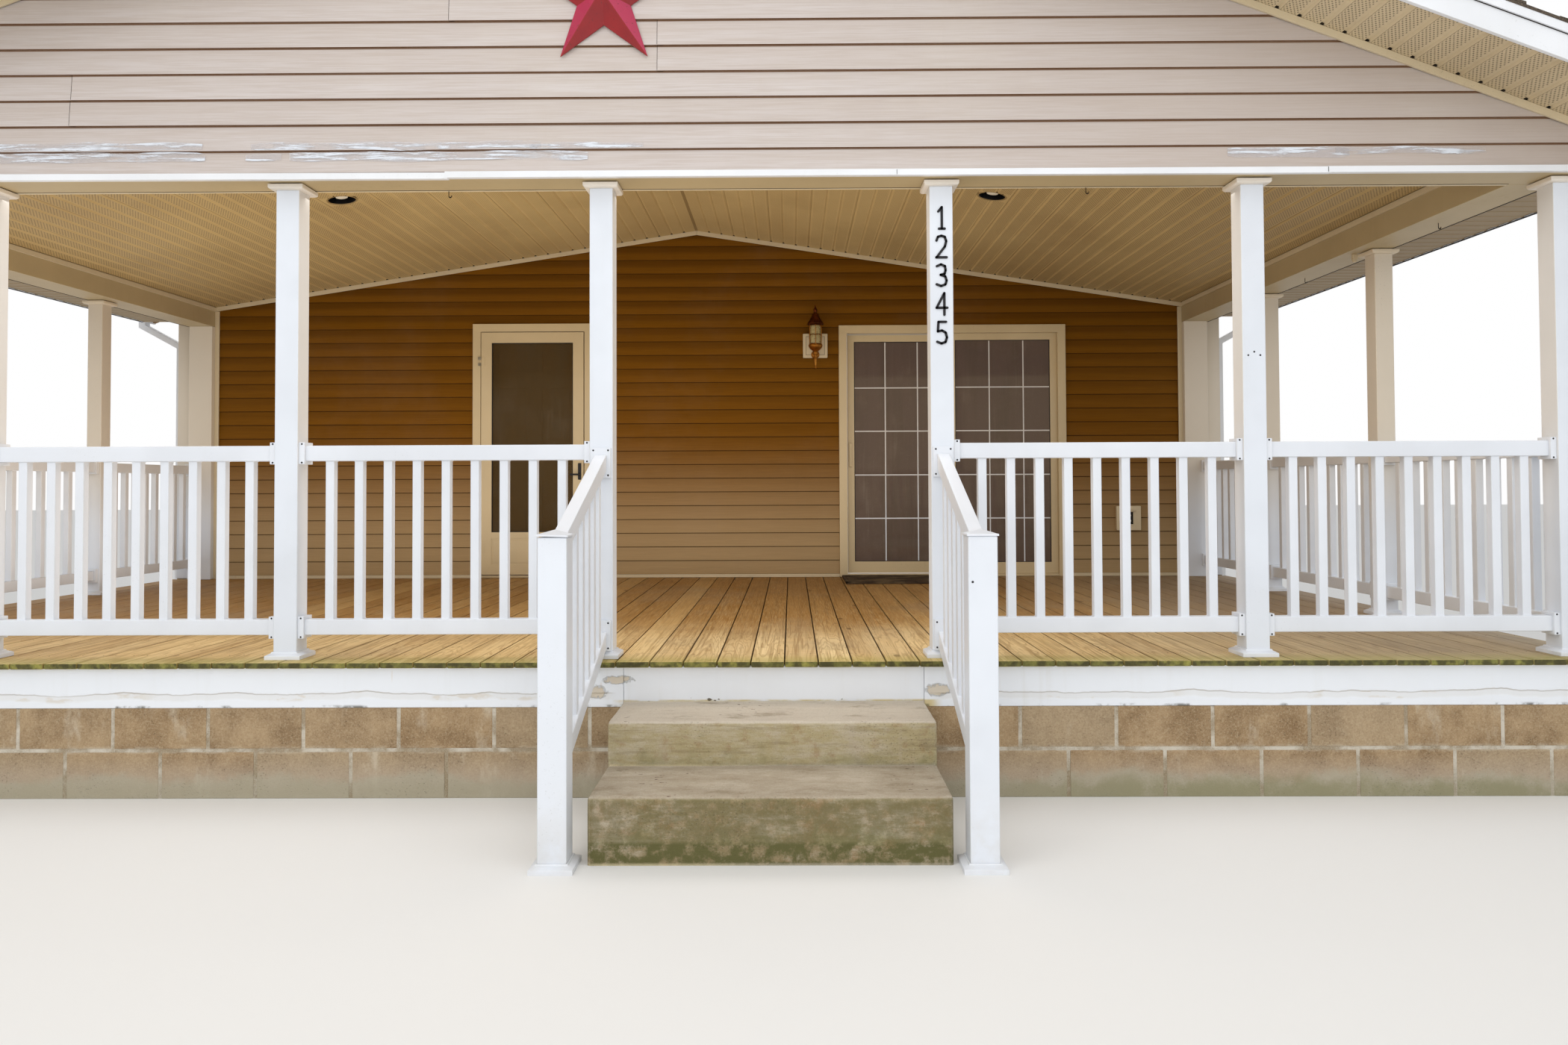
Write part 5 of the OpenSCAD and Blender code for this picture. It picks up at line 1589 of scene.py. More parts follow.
@dataclass
class Ceiling(Assembly):
    """Sloping ceiling of ribbed panels that run front to back, vented towards the sides."""

    pitch: float = 0.1016
    thick: float = 0.012
    groove: float = 0.0065
    slope: float = 0.0115
    lamp_r: float = 0.0865
    slices: int = 24

    def board(self, work: MeshBuilder, side: int, a: float, b: float, y0: float, y1: float, tone: float,
              joint: bool) -> None:
        """Adds one board between two distances from the middle, with a dark joint line of painted shade
        before it or none.
        """
        s, g, w = self.site, self.groove, min(self.slope, (b - a) / 3)
        low = [(a + 0.0004, g), (a + w, 0.0), (b - w, 0.0), (b - 0.0004, g)]
        top = [(b - 0.0004, self.thick), (a + 0.0004, self.thick)]
        outline = [(side * x, s.ceiling(x) + h) for x, h in low + top]
        across = [abs(p[0]) - a + (0.0 if joint else 0.004) for p in outline]
        if signed_area(outline) > 0:
            across = across[::-1]
        vents = min(1.0, max(0.35, a / 1.8 - 0.1))
        work.prism(outline, Axis.Y, y0, y1, tone=tone, side=across * 2, vents=vents)

    def rim(self, work: MeshBuilder, side: int, a: float, b: float, middle: float, tone: float) -> None:
        """Fills a board up to the round edge of a recessed light with narrow slices."""
        edges = [a + (b - a) * i / self.slices for i in range(self.slices + 1)]
        for x0, x1 in zip(edges, edges[1:]):
            off = min(self.lamp_r, abs((x0 + x1) / 2 - LAMP_X))
            hole = math.sqrt(self.lamp_r ** 2 - off ** 2)
            low = [(x, self.groove * max(0.0, 1 - min(x - a, b - x) / self.slope)) for x in (x0, x1)]
            outline = [(side * x, self.site.ceiling(x) + h) for x,
                       h in [*low, (x1, self.thick), (x0, self.thick)]]
            for y0, y1 in ((middle - self.lamp_r, middle - hole), (middle + hole, middle + self.lamp_r)):
                if y1 - y0 > 0.0005:
                    work.prism(outline, Axis.Y, y0, y1, tone=tone, side=[0.05] * 8, vents=[0.0] * 8)

    def build(self) -> None:
        """Lays the boards on both slopes, cut around the recessed lights, with painted shadow notches at the
        wall.
        """
        s = self.site
        low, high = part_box("ceiling")
        work = MeshBuilder("ceiling_panels", Paint.CEILING, Paint.DARK)
        middle = s.front + LAMP_Y
        cut = self.lamp_r
        for side in (-1, 1):
            a, count = 0.001, 0
            while a < high.x - 0.01:
                b = min(a + self.pitch, high.x)
                tone, joint = work.random.random(), count % 3 == 0
                count += 1
                # Dark notch at the wall end of each board: painted shadow where the board meets the wall
                # trim.
                notch = [(side * x, s.ceiling(x) + h) for x,
                         h in ((b - 0.0075, -0.0008), (b + 0.0075, -0.0008), (b + 0.0075, 0.005),
                               (b - 0.0075, 0.005))]
                work.prism(notch, Axis.Y, high.y - 0.021, high.y - 0.012, finish=1)
                near = max(0.0, a - LAMP_X, LAMP_X - b)
                if near < cut:
                    self.board(work, side, a, b, low.y, middle - cut, tone, joint)
                    self.board(work, side, a, b, middle + cut, high.y, tone, joint)
                    self.rim(work, side, a, b, middle, tone)
                else:
                    self.board(work, side, a, b, low.y, high.y, tone, joint)
                a = b
        work.box((-0.012, low.y, self.site.ceiling(0) - 0.003), (0.012, high.y, self.site.ceiling(0) + 0.004),
                 0.002, tone=1.0)
        work.build(slot="cream_vinyl", replaces=["ceiling"], angle=25, weigh=False)


@dataclass
class Soffits(Assembly):
    """Vented panels under the gable overhang and the eaves."""

    pitch: float = 0.0955
    rib: float = 0.025
    thick: float = 0.012
    rise: float = 0.0085

    def build(self) -> None:
        """Lays the rake panels across the overhang and the eave panels across the eaves, with painted shadow
        notches at the wall.
        """
        s = self.site
        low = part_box("soffits")[0]
        work = MeshBuilder("soffit_panels", Paint.SOFFIT, Paint.DARK)
        front, wall = low.y, s.front - 0.0013
        for side in (-1, 1):
            a = 0.001
            while a < s.eave - 0.01:
                b = min(a + self.pitch, s.eave - 0.0003)
                r = min(self.rib, (b - a) / 2)
                shape = [(a, 0.0), (b - r, 0.0), (b - r + 0.007, self.rise), (b - 0.007, self.rise), (b, 0.0),
                         (b, 0.0105), (a, 0.0105)]
                outline = [(side * x, s.soffit(x) + h) for x, h in shape]
                across, vents = [x - a for x, _ in shape], [1.0, 1.0, 0.0, 0.0, 0.0, 0.0, 1.0]
                if signed_area(outline) > 0:
                    across, vents = across[::-1], vents[::-1]
                work.prism(outline, Axis.Y, front, wall, side=across * 2, vents=vents * 2)
                # Dark notch beside each rib at the wall: painted shadow where the panel meets the wall trim.
                notch = [(side * x, s.soffit(x) + h) for x,
                         h in ((b - r + 0.007, 0.003), (b - 0.007, 0.003), (b - 0.008, 0.0082),
                               (b - r + 0.008, 0.0082))]
                work.prism(notch, Axis.Y, wall - 0.017, wall - 0.001, finish=1)
                a = b
            x0, x1 = sorted((side * (s.beam_out + 0.0003), side * (s.eave - 0.0003)))
            base = s.soffit(s.eave)
            y = s.front
            while y < s.front + s.depth - 0.01:
                end = min(y + self.pitch, s.front + s.depth)
                shape = [(y, base - self.thick + 0.003), (end - self.rib, base - self.thick + 0.003),
                         (end - self.rib + 0.003, base - self.thick), (end - 0.003, base - self.thick),
                         (end, base - self.thick + 0.003), (end, base - 0.0003), (y, base - 0.0003)]
                work.prism(shape, Axis.X, x0, x1)
                y = end
            o = s.beam_out + 0.0003
            plate = [(side * o, base), (side * (s.eave - 0.0003), base), (side * o, s.soffit(o))]
            work.prism(plate, Axis.Y, s.front, s.front + self.thick)
        work.build(slot="cream_vinyl", replaces=["soffits"], angle=25, weigh=False)


@dataclass
class Roof(Assembly):
    """Roof deck with courses of three-tab shingles and a capped ridge."""

    exposure: float = 0.143
    tab: float = 0.305
    thick: float = 0.026

    def height(self, x: float) -> float:
        """Height of the roof deck's underside at x."""
        return self.site.ridge + 0.13 - ROOF_FALL * abs(x)

    def build(self) -> None:
        """Lays the deck, the tabs from the eave up and the caps along the ridge."""
        low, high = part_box("roof_panels")
        work = MeshBuilder("roof_shingles", Paint.SHINGLE)
        deck = 0.013
        slope = math.sqrt(1 + ROOF_FALL ** 2)
        step = self.exposure / slope
        for side in (-1, 1):
            outline = [(side * x, self.height(x) + h) for x,
                       h in ((0.001, 0), (high.x, 0), (high.x, deck), (0.001, deck))]
            work.prism(outline, Axis.Y, low.y, high.y, tone=0.1)
            count = math.ceil((high.x - 0.06) / step)
            for k in range(count):
                b = high.x - k * step
                a = max(0.03, b - step - 0.004)
                y = low.y - self.tab * (0.5 if k % 2 else 0.0) + work.random.uniform(-0.01, 0.01)
                while y < high.y:
                    y0, y1 = max(y + 0.0035, low.y), min(y + self.tab - 0.0035, high.y)
                    y += self.tab
                    if y1 - y0 < 0.01:
                        continue
                    top = self.thick - 0.001 - work.random.uniform(0, 0.002)
                    shape = [(a, deck - 0.001), (b, deck - 0.001), (b, top), (a, deck + 0.003)]
                    work.prism([(side * x, self.height(x) + h) for x, h in shape], Axis.Y, y0, y1)
        work.build(slot="roofing", replaces=["roof_panels"], angle=30, weigh=False)
        base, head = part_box("ridge_cap")
        caps = MeshBuilder("ridge_shingles", Paint.SHINGLE)
        y = base.y
        while y < head.y - 0.02:
            end = min(y + self.exposure + 0.006, head.y)
            for side in (-1, 1):
                reach = 0.137
                shape = [(0.0, 0.0), (reach, -reach * ROOF_FALL), (reach, 0.0035 - reach * ROOF_FALL),
                         (0.0, 0.0035)]
                points = [(side * x, head.z - 0.0072 + h) for x, h in shape]
                lift = caps.random.uniform(0.0, 0.0004)
                caps.prism([(x, z + 0.0035 - lift if i > 1 else z) for i, (x, z) in enumerate(points)],
                           Axis.Y, y, end, tone=caps.random.random())
            y += self.exposure
        caps.build(slot="roofing", replaces=["ridge_cap"], angle=30, weigh=False)


@dataclass
class DripEdges(Assembly):
    """White metal strips under the gable siding, one of them sagging, and over the rake boards, with painted
    shadow lines at two laps and under the rake strips.
    """

    seams: Sequence[float] = (-2.72, -0.7106, 1.225, 3.061)
    drops: Sequence[float] = (0.0, 0.0042, 0.0, 0.001, 0.0)
    height: float = 0.0277
    lap: float = 0.012

    def build(self) -> None:
        """Folds the strips and lays the painted shadow lines."""
        s = self.site
        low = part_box("drip_edges")[0]
        work = MeshBuilder("drip_strips", Paint.TRIM_WHITE, Paint.DARK)
        ends = [-s.beam_out, *self.seams, s.beam_out]
        back = s.front + 0.0117
        foot, head = s.beam - 0.0018, s.beam - 0.0018 + self.height
        for i, (a, b, drop) in enumerate(zip(ends, ends[1:], self.drops)):
            out, end = s.front - 0.016 + 0.0012 * (i % 2), min(b + self.lap, s.beam_out)
            shape = [(back, foot + 0.001), (out + 0.0012, foot), (out, foot + 0.0012), (out, head - 0.002),
                     (out + 0.0016, head), (back, head + 0.001)]
            first = len(work.points)
            work.prism(shape, Axis.X, a, end, tone=0.2 + 0.5 * (i % 2))
            for j in range(first, len(work.points)):
                x, y, z = work.points[j]
                work.points[j] = (x, y, z - drop * (x - a) / (end - a))
        # Painted shadow: a dark line at each of the two right-hand laps.
        for x in self.seams[2:]:
            work.box((x - 0.001, s.front - 0.0164, foot + 0.003), (x + 0.001, s.front - 0.015, head - 0.003),
                     0.0002, tone=1.0, finish=1)
        e = s.eave + 0.019
        for side in (-1, 1):
            shape = [(side * x, s.soffit(x) + h) for x,
                     h in ((0.001, 0.0937), (e, 0.0937), (e, 0.1297), (0.001, 0.1297))]
            work.prism(shape, Axis.Y, low.y, low.y + 0.0097, tone=0.4)
            # Painted shadow: a thin dark strip under each rake strip.
            shape = [(side * x, s.soffit(x) + h) for x,
                     h in ((0.001, 0.0905), (e, 0.0905), (e, 0.0936), (0.001, 0.0936))]
            work.prism(shape, Axis.Y, low.y + 0.0075, low.y + 0.0095, tone=0.5, finish=1)
        work.build(slot="white_metal", replaces=["drip_edges"], angle=25, weigh=False)


@dataclass
class Star:
    """Five-pointed barn star with raised arms, folded from thin sheet."""

    radius: float = 0.32
    depth: float = 0.075
    rim: float = 0.007

    def build(self) -> None:
        """Folds ten facets up to the point, with a turned rim."""
        low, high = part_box("barn_star")
        cx, cz, back = (low.x + high.x) / 2 + 0.026, high.z - self.radius - 0.051, high.y
        inner = self.radius * 0.382
        ring = []
        for i in range(10):
            a, r = math.radians(90 + 36 * i), self.radius if i % 2 == 0 else inner
            ring.append((cx + r * math.cos(a), cz + r * math.sin(a)))
        points = [(x, back, z) for x, z in ring] + [(x, back - self.rim, z) for x, z in ring]
        points += [(cx, back - self.depth, cz), (cx, back, cz)]
        faces = []
        for i in range(10):
            j = (i + 1) % 10
            faces += [[i, j, j + 10, i + 10], [i + 10, j + 10, 20], [j, i, 21]]
        work = MeshBuilder("star", Paint.STAR, tone=0.5)
        work.add(points, faces)
        made = work.build(slot="star_red", replaces=["barn_star"], angle=5, weigh=False)
        bevel = made.modifiers.new("Folds", "BEVEL")
        bevel.width, bevel.segments, bevel.angle_limit = 0.0022, 2, math.radians(12)


@dataclass
class Digits:
    """House numerals cut from plate: plain digits in a column on the post."""

    text: str = "12345"
    height: float = 0.094
    width: float = 0.05
    line: float = 0.0105
    thick: float = 0.004
    strokes: dict[str, tuple] = field(
        default_factory=lambda: {
            "1": ([(0.25, 0.8), (0.55, 1.0), (0.55, 0.0)], [(0.3, 0.0), (0.8, 0.0)]),
            "2": ([(0.08, 0.78), (0.2, 0.95), (0.5, 1.0), (0.8, 0.95), (0.92, 0.75), (0.8, 0.5), (0.08, 0.0)],
                  [(0.05, 0.0), (0.95, 0.0)]),
            "3": ([(0.1, 0.92), (0.45, 1.0), (0.8, 0.92), (0.85, 0.72), (0.75, 0.56), (0.42, 0.52)],
                  [(0.42, 0.52), (0.82, 0.44), (0.93, 0.25), (0.82, 0.07), (0.45, 0.0), (0.07, 0.08)]),
            "4": ([(0.72, 0.0), (0.72, 1.0), (0.05, 0.32), (0.97, 0.32)],),
            "5": (
                [(0.85, 1.0), (0.2, 1.0), (0.14, 0.56), (0.5, 0.6), (0.82, 0.5), (0.92, 0.28), (0.8, 0.07),
                 (0.45, 0.0), (0.08, 0.08)],
            )
        }
    )

    def stroke(self, work: MeshBuilder, a, b, x: float, z: float, back: float) -> None:
        """Adds one straight stroke with round ends, between two points of the digit's square."""
        one = Vector((x + a[0] * self.width, z + a[1] * self.height))
        two = Vector((x + b[0] * self.width, z + b[1] * self.height))
        d = (two - one).normalized()
        n = Vector((-d.y, d.x)) * self.line / 2
        turn = math.atan2(n.y, n.x)
        outline = [one + Vector((math.cos(turn + t), math.sin(turn + t))) * self.line / 2
                   for t in np.linspace(0, math.pi, 7)]
        outline += [two + Vector((math.cos(turn + t), math.sin(turn + t))) * self.line / 2
                    for t in np.linspace(math.pi, 2 * math.pi, 7)]
        work.prism([tuple(p) for p in outline], Axis.Y, back - self.thick, back)

    def build(self) -> None:
        """Sets one digit where each plate of the frame lies."""
        low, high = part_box("house_numbers")
        work = MeshBuilder("numerals", Paint.BLACK, tone=0.5)
        x = (low.x + high.x) / 2 - self.width / 2
        for i, mark in enumerate(self.text):
            z = high.z - 0.002 - i * 0.125 - self.height
            for path in self.strokes[mark]:
                for a, b in zip(path, path[1:]):
                    self.stroke(work, a, b, x, z, high.y)
        work.build(slot="dark_metal", replaces=["house_numbers"], angle=30, weigh=False)


@dataclass
class Lantern(Assembly):
    """Turned wall lantern with a seeded glass, cage bars, finial and hooked tail."""

    x: float = LANTERN_X
    reach: float = 0.128
    bars: int = 6

    def turn(self, work: MeshBuilder, profile: Outline, y: float, count: int = 40, finish: int = 0) -> None:
        """Turns a profile, with its heights above the deck, about the lantern's middle."""
        work.lathe([(r, self.site.deck + h) for r, h in profile], (self.x, y, 0), count, finish=finish)

    def build(self) -> None:
        """Turns the crown and the cup, bends the cage and sets the arm and its rose."""
        s = self.site
        wall = s.front + s.depth
        y = wall - self.reach
        base = s.deck
        work = MeshBuilder("lantern_body", Paint.BRASS, Paint.BRONZE, tone=0.5)
        crown = [(0.0, 2.038), (0.06, 2.039), (0.065, 2.043), (0.0662, 2.048), (0.063, 2.052), (0.058, 2.064),
                 (0.047, 2.078), (0.039, 2.092), (0.032, 2.106), (0.026, 2.119), (0.0235, 2.128),
                 (0.02, 2.134), (0.012, 2.139), (0.0125, 2.147), (0.0145, 2.152), (0.0165, 2.16),
                 (0.014, 2.168), (0.01, 2.173), (0.006, 2.184), (0.0045, 2.195), (0.003, 2.202), (0.0, 2.203)]
        cup = [(0.0, 1.688), (0.0055, 1.6895), (0.0085, 1.694), (0.0068, 1.7), (0.0085, 1.72),
               (0.0112, 1.745), (0.0125, 1.765), (0.0118, 1.776), (0.0105, 1.788), (0.016, 1.798),
               (0.0215, 1.808), (0.022, 1.815), (0.019, 1.826), (0.028, 1.833), (0.043, 1.845),
               (0.051, 1.856), (0.055, 1.866), (0.057, 1.874), (0.054, 1.8795), (0.0, 1.88)]
        for finish, profile in enumerate((cup, crown)):
            self.turn(work, profile, y, finish=finish)
        for i in range(self.bars):
            a = math.radians(60 * i + 30)
            spin = Matrix.Rotation(a, 4, "Z")
            for k in range(6):
                h0, h1 = 1.8785 + k * 0.0272, 1.8785 + (k + 1) * 0.0272 + 0.001
                bulge = 0.0515 + 0.0035 * math.sin(math.pi * (k + 0.5) / 6)
                c = (self.x + bulge * math.cos(a), y + bulge * math.sin(a), base + (h0 + h1) / 2)
                work.block(c, (0.0024, 0.0024, (h1 - h0) / 2), 0.0008, turn=spin)
        for h in (1.884, 1.958, 2.034):
            ring = [(0.0475, h - 0.002), (0.0505, h - 0.003), (0.0535, h), (0.0505, h + 0.003),
                    (0.0475, h + 0.002)]
            self.turn(work, ring, y)
        path = [(wall - 0.034, 1.812), (wall - 0.05, 1.796), (wall - 0.072, 1.786), (wall - 0.095, 1.79),
                (wall - 0.112, 1.801), (y, 1.812)]
        for (a, za), (b, zb) in zip(path, path[1:]):
            turn = Matrix.Rotation(math.atan2(zb - za, b - a), 4, "X")
            run = math.dist((a, za), (b, zb)) / 2 + 0.002
            c = (self.x, (a + b) / 2, base + (za + zb) / 2)
            work.block(c, (0.0055, run, 0.0055), 0.0025, turn=turn)
        rose = [(0.0, wall - 0.0455), (0.012, wall - 0.045), (0.022, wall - 0.042), (0.031, wall - 0.037),
                (0.034, wall - 0.0332), (0.034, wall - 0.0302)]
        work.lathe(rose, (self.x, 0, base + 1.812), 32, Axis.Y)
        work.build(slot="lamp_brass", replaces=["lantern"], angle=50, weigh=False)
        glass = MeshBuilder("lantern_pane", Paint.AMBER, tone=0.5)
        shell = [(0.03, 1.8803), (0.0405, 1.8803), (0.0445, 1.9), (0.0455, 1.93), (0.045, 1.99),
                 (0.043, 2.02), (0.0405, 2.0395), (0.0385, 2.0395), (0.041, 2.02), (0.043, 1.99),
                 (0.0435, 1.93), (0.0425, 1.9), (0.0385, 1.883)]
        self.turn(glass, shell, y)
        glass.build(slot="pane", replaces=["lantern_glass"], angle=50, weigh=False)
        candle = MeshBuilder("lantern_lamp", Paint.LAMP, tone=0.5)
        bulb = [(0.0, 1.8802), (0.011, 1.8803), (0.0112, 1.92), (0.008, 1.925), (0.0125, 1.94),
                (0.0145, 1.955), (0.012, 1.972), (0.006, 1.99), (0.0, 1.996)]
        self.turn(candle, bulb, y, 24)
        candle.build(slot="lamp_brass", angle=50, weigh=False)


@dataclass
class CeilingLights(Assembly):
    """Recessed cans with a stepped ring, dark inside, each with a pale lamp."""

    radius: float = 0.0855

    def build(self) -> None:
        """Turns each can square to its slope."""
        s = self.site
        tilt = math.atan(s.ceil_rise / s.beam_in)
        work = MeshBuilder("light_cans", Paint.CEILING, Paint.PITCH, Paint.LAMP, tone=0.5)
        r = self.radius
        ring = [(r - 0.005, 0.003), (r - 0.0035, -0.0006), (r - 0.001, -0.0014), (r + 0.004, -0.001),
                (r + 0.0065, 0.0)]
        can = [(r - 0.005, 0.003), (r - 0.006, 0.02), (r - 0.004, 0.035), (r - 0.005, 0.104), (0.0, 0.105)]
        bulb = [(0.02, 0.104), (0.0215, 0.058), (0.028, 0.046), (0.036, 0.034), (0.038, 0.026),
                (0.035, 0.019), (0.02, 0.0145), (0.0, 0.014)]
        outer = [(r - 0.0003, 0.0), (r - 0.0003, 0.1095), (0.0, 0.1097)]
        for side in (-1, 1):
            place = Matrix.Translation((side * LAMP_X, s.front + LAMP_Y, s.ceiling(LAMP_X)))
            place = place @ Matrix.Rotation(side * tilt, 4, "Y")
            for profile, finish in ((ring, 0), (can, 1), (bulb, 2), (outer, 1)):
                first = len(work.points)
                work.lathe(profile, (0, 0, 0), 48, finish=finish)
                work.move(first, place)
            for turn in (0.95, 2.19):
                clip = place @ Matrix.Rotation(-turn, 4, "Z") @ Matrix.Translation((r + 0.007, 0, -0.0012))
                first = len(work.points)
                work.block((0.0, 0.0, 0.0), (0.003, 0.005, 0.001), 0.0008, finish=1)
                work.move(first, clip)
        work.build(slot="cream_vinyl", replaces=["ceiling_lights"], angle=50, weigh=False)


@dataclass
class GlassBars(Assembly):
    """Flat bars that divide the panes of the sliding door, on each panel's own body."""

    rows: Sequence[float] = (1.546, 1.189, 0.829, 0.473)
    width: float = 0.0095
    gasket: float = 0.005

    def grid(self, name: str, node: str, body: str, columns: Sequence[float]) -> None:
        """Lays one grid over a pane, with the dark gasket around it."""
        low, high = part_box(node)
        y = low.y
        work = MeshBuilder(name, Paint.WHITE, Paint.BLACK, tone=0.5)
        for x in columns:
            work.box((x - self.width / 2, y - 0.0028, low.z), (x + self.width / 2, y - 0.0003, high.z),
                     0.0008, tone=0.3)
        for h in self.rows:
            z = self.site.deck + h
            work.box((low.x, y - 0.0026, z - self.width / 2), (high.x, y - 0.0002, z + self.width / 2),
                     0.0008, tone=0.3)
        for a, b in border((low.x, low.z), (high.x, high.z), self.gasket):
            work.box((a[0], y - 0.004, a[1]), (b[0], y + 0.001, b[1]), 0.0012, finish=1)
        work.build(body=body, slot="cream_vinyl", angle=30)

    def build(self) -> None:
        """Lays both grids."""
        self.grid("slider_bars", "slider_glass", "sliding_leaf", (1.544, 1.81))
        self.grid("fixed_bars", "slider_fixed_glass", "porch", (2.393, 2.671))


@dataclass
class StormDoorTrim(Assembly):
    """Gasket around the storm door's glass, and the raised kick panel."""

    gasket: float = 0.006
    inset: float = 0.014

    def build(self) -> None:
        """Fits the gasket and the panel to the leaf."""
        low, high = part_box("storm_glass")
        face = low.y - 0.015
        work = MeshBuilder("storm_gasket", Paint.BLACK, Paint.DOOR, tone=0.5)
        for a, b in border((low.x, low.z), (high.x, high.z), self.gasket):
            work.box((a[0], face + 0.008, a[1]), (b[0], low.y + 0.001, b[1]), 0.0015)
        z0, z1 = self.site.deck + 0.11, self.site.deck + 0.374 - 0.05
        inset = self.inset
        work.box((low.x + inset, face + 0.0006, z0 + inset), (high.x - inset, face + 0.006, z1 - inset),
                 0.0035, tone=0.4, finish=1)
        work.build(body="storm_leaf", slot="door_steel", angle=30)


@dataclass
class DoorMat(Assembly):
    """Ribbed door mat with a bound edge."""

    rib: float = 0.011
    edge: float = 0.022

    def build(self) -> None:
        """Lays the ribs between the edges."""
        low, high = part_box("door_mat")
        work = MeshBuilder("mat", Paint.FIBRE)
        work.box((low.x, low.y, low.z), (high.x, high.y, high.z - 0.006), 0.005, tone=0.2)
        edge = self.edge
        for a, b in border((low.x, low.y), (high.x, high.y), edge):
            work.box((a[0], a[1], low.z + 0.004), (b[0], b[1], high.z), 0.004, tone=0.1)
        y = low.y + edge + 0.002
        while y + self.rib < high.y - edge:
            tall = high.z - 0.001 - work.random.uniform(0, 0.0015)
            work.box((low.x + edge, y, low.z + 0.006), (high.x - edge, y + self.rib - 0.002, tall), 0.0035)
            y += self.rib
        work.build(slot="mat_fibre", replaces=["door_mat"])


@dataclass
class WallBlocks(Assembly):
    """Socket and its cover on the outlet block, and the raised field of the lantern's block."""

    def build(self) -> None:
        """Fits both to their blocks."""
        s = self.site
        wall = s.front + s.depth
        work = MeshBuilder("outlet_socket", Paint.DARK, Paint.CREAM, Paint.BLACK, tone=0.5)
        x, z = 3.408 + 0.0985, s.deck + 0.4695
        face = wall - 0.026
        middle = s.deck + 1.8855
        work.block((LANTERN_X, wall - 0.03035, middle), (0.074, 0.00135, 0.073), 0.001, tone=0.4, finish=1)
        work.block((LANTERN_X, wall - 0.0297, middle), (0.0765, 0.0007, 0.0755), 0.0002, tone=0.4)
        work.box((x - 0.045, face - 0.004, z - 0.062), (x + 0.045, face + 0.002, z + 0.062), 0.003, tone=0.4,
                 finish=1)
        work.box((x - 0.034, face - 0.0055, z - 0.05), (x + 0.034, face, z + 0.05), 0.002)
        for h in (-0.022, 0.022):
            work.lathe([(0.0, -0.0035), (0.0145, -0.0032), (0.0165, 0.0)], (x, face - 0.0052, z + h), 20,
                       Axis.Y, finish=1)
            for a in (-0.006, 0.006):
                work.block((x + a, face - 0.00875, z + h + 0.0005), (0.0012, 0.00075, 0.0045), 0.0003,
                           finish=2)
        work.box((x - 0.052, face - 0.03, z + 0.056), (x + 0.052, face - 0.001, z + 0.066), 0.003, tone=0.4,
                 finish=1)
        work.build(slot="dark_metal", angle=30)


@dataclass
class Tapes(Assembly):
    """Strips of old clear tape on the lowest course of the gable."""

    runs: Sequence[tuple[float, float, float, float]] = (
        (-2.9, -1.76, 2.789, 0.034), (-3.0, -1.75, 2.744, 0.042), (-1.575, -1.42, 2.742, 0.034),
        (-1.55, -0.3, 2.787, 0.034), (-1.385, -0.1, 2.742, 0.04), (-0.35, 0.14, 2.784, 0.024),
        (2.64, 3.16, 2.738, 0.045), (3.1, 3.74, 2.742, 0.03)
    )

    def build(self) -> None:
        """Lays each strip over the course it sticks to, with torn ends and wavy edges."""
        s = self.site
        work = MeshBuilder("gable_tape", Paint.TAPE, tone=0.5)
        for a, b, middle, width in self.runs:
            n = max(4, round((b - a) / 0.035))
            points, faces = [], []
            for i in range(n + 1):
                x = a + (b - a) * i / n
                taper = min(1.0, min(i, n - i) / 1.2 + 0.75)
                up = width / 2 * taper + 0.007 * noise.noise((x * 6, a, 1.0))
                low = -width / 2 * taper + 0.008 * noise.noise((x * 4, a, 5.0))
                for h in (low, up):
                    z = middle + h
                    y = s.front - 0.0026 + (0.004 if middle < 2.768 else 0.0)
                    points.append((x, y - 0.0006 * abs(noise.noise((x * 22, z * 30, 2.0))), z))
                    points.append((x, y + 0.0006, z))
            for i in range(n):
                k = 4 * i
                faces += [[k, k + 4, k + 6, k + 2], [k + 1, k + 3, k + 7, k + 5], [k, k + 1, k + 5, k + 4],
                          [k + 2, k + 6, k + 7, k + 3]]
            faces += [[0, 2, 3, 1], [4 * n, 4 * n + 1, 4 * n + 3, 4 * n + 2]]
            work.add(points, faces)
        work.build(slot="white_board", angle=60, weigh=False)


DRESSED: tuple[tuple[Finish, str, float, str], ...] = (
    (Paint.RIM, "white_board", 0.0025, "rim_boards"),
    (Paint.TIMBER, "framing", 0.002, "joists"),
    (Paint.SLEEVE, "white_vinyl", 0.0045, "posts newels"),
    (Paint.WHITE, "white_vinyl", 0.0035, "railing_front railing_sides stair_rails"),
    (Paint.WHITE, "white_vinyl", 0.002, "rail_brackets"),
    (Paint.BEAM, "cream_vinyl", 0.003, "beams"),
    (Paint.CREAM, "cream_vinyl", 0.0015, "wall_trim"),
    (Paint.BACKING, "framing", 0.0, "gable_wall house_wall"),
    (Paint.TIMBER, "framing", 0.0, "rafters"),
    (Paint.TRIM_WHITE, "white_metal", 0.002, "fascia"),
    (Paint.TRIM_WHITE, "white_metal", 0.001, "gutters"),
    (Paint.TRIM_WHITE, "white_metal", 0.005, "downspouts"),
    (Paint.DOOR, "cream_vinyl", 0.003, "entry_frame slider_frame slider_fixed slider_panel"),
    (Paint.GLASS, "pane", 0.0, "slider_fixed_glass slider_glass"),
    (Paint.CREAM, "cream_vinyl", 0.005, "wall_blocks"),
    (Paint.STEEL, "hinge_steel", 0.0006, "door_hinges"),
    (Paint.DOOR, "door_steel", 0.003, "storm_door"),
    (Paint.SCREEN, "pane", 0.0, "storm_glass"),
    (Paint.BLACK, "dark_metal", 0.004, "storm_handle"),
    (Paint.DOOR, "door_steel", 0.002, "entry_door"),
    (Paint.BRASS, "lamp_brass", 0.003, "entry_knob"),
    (Paint.DOOR, "lamp_brass", 0.006, "slider_handle"),
)


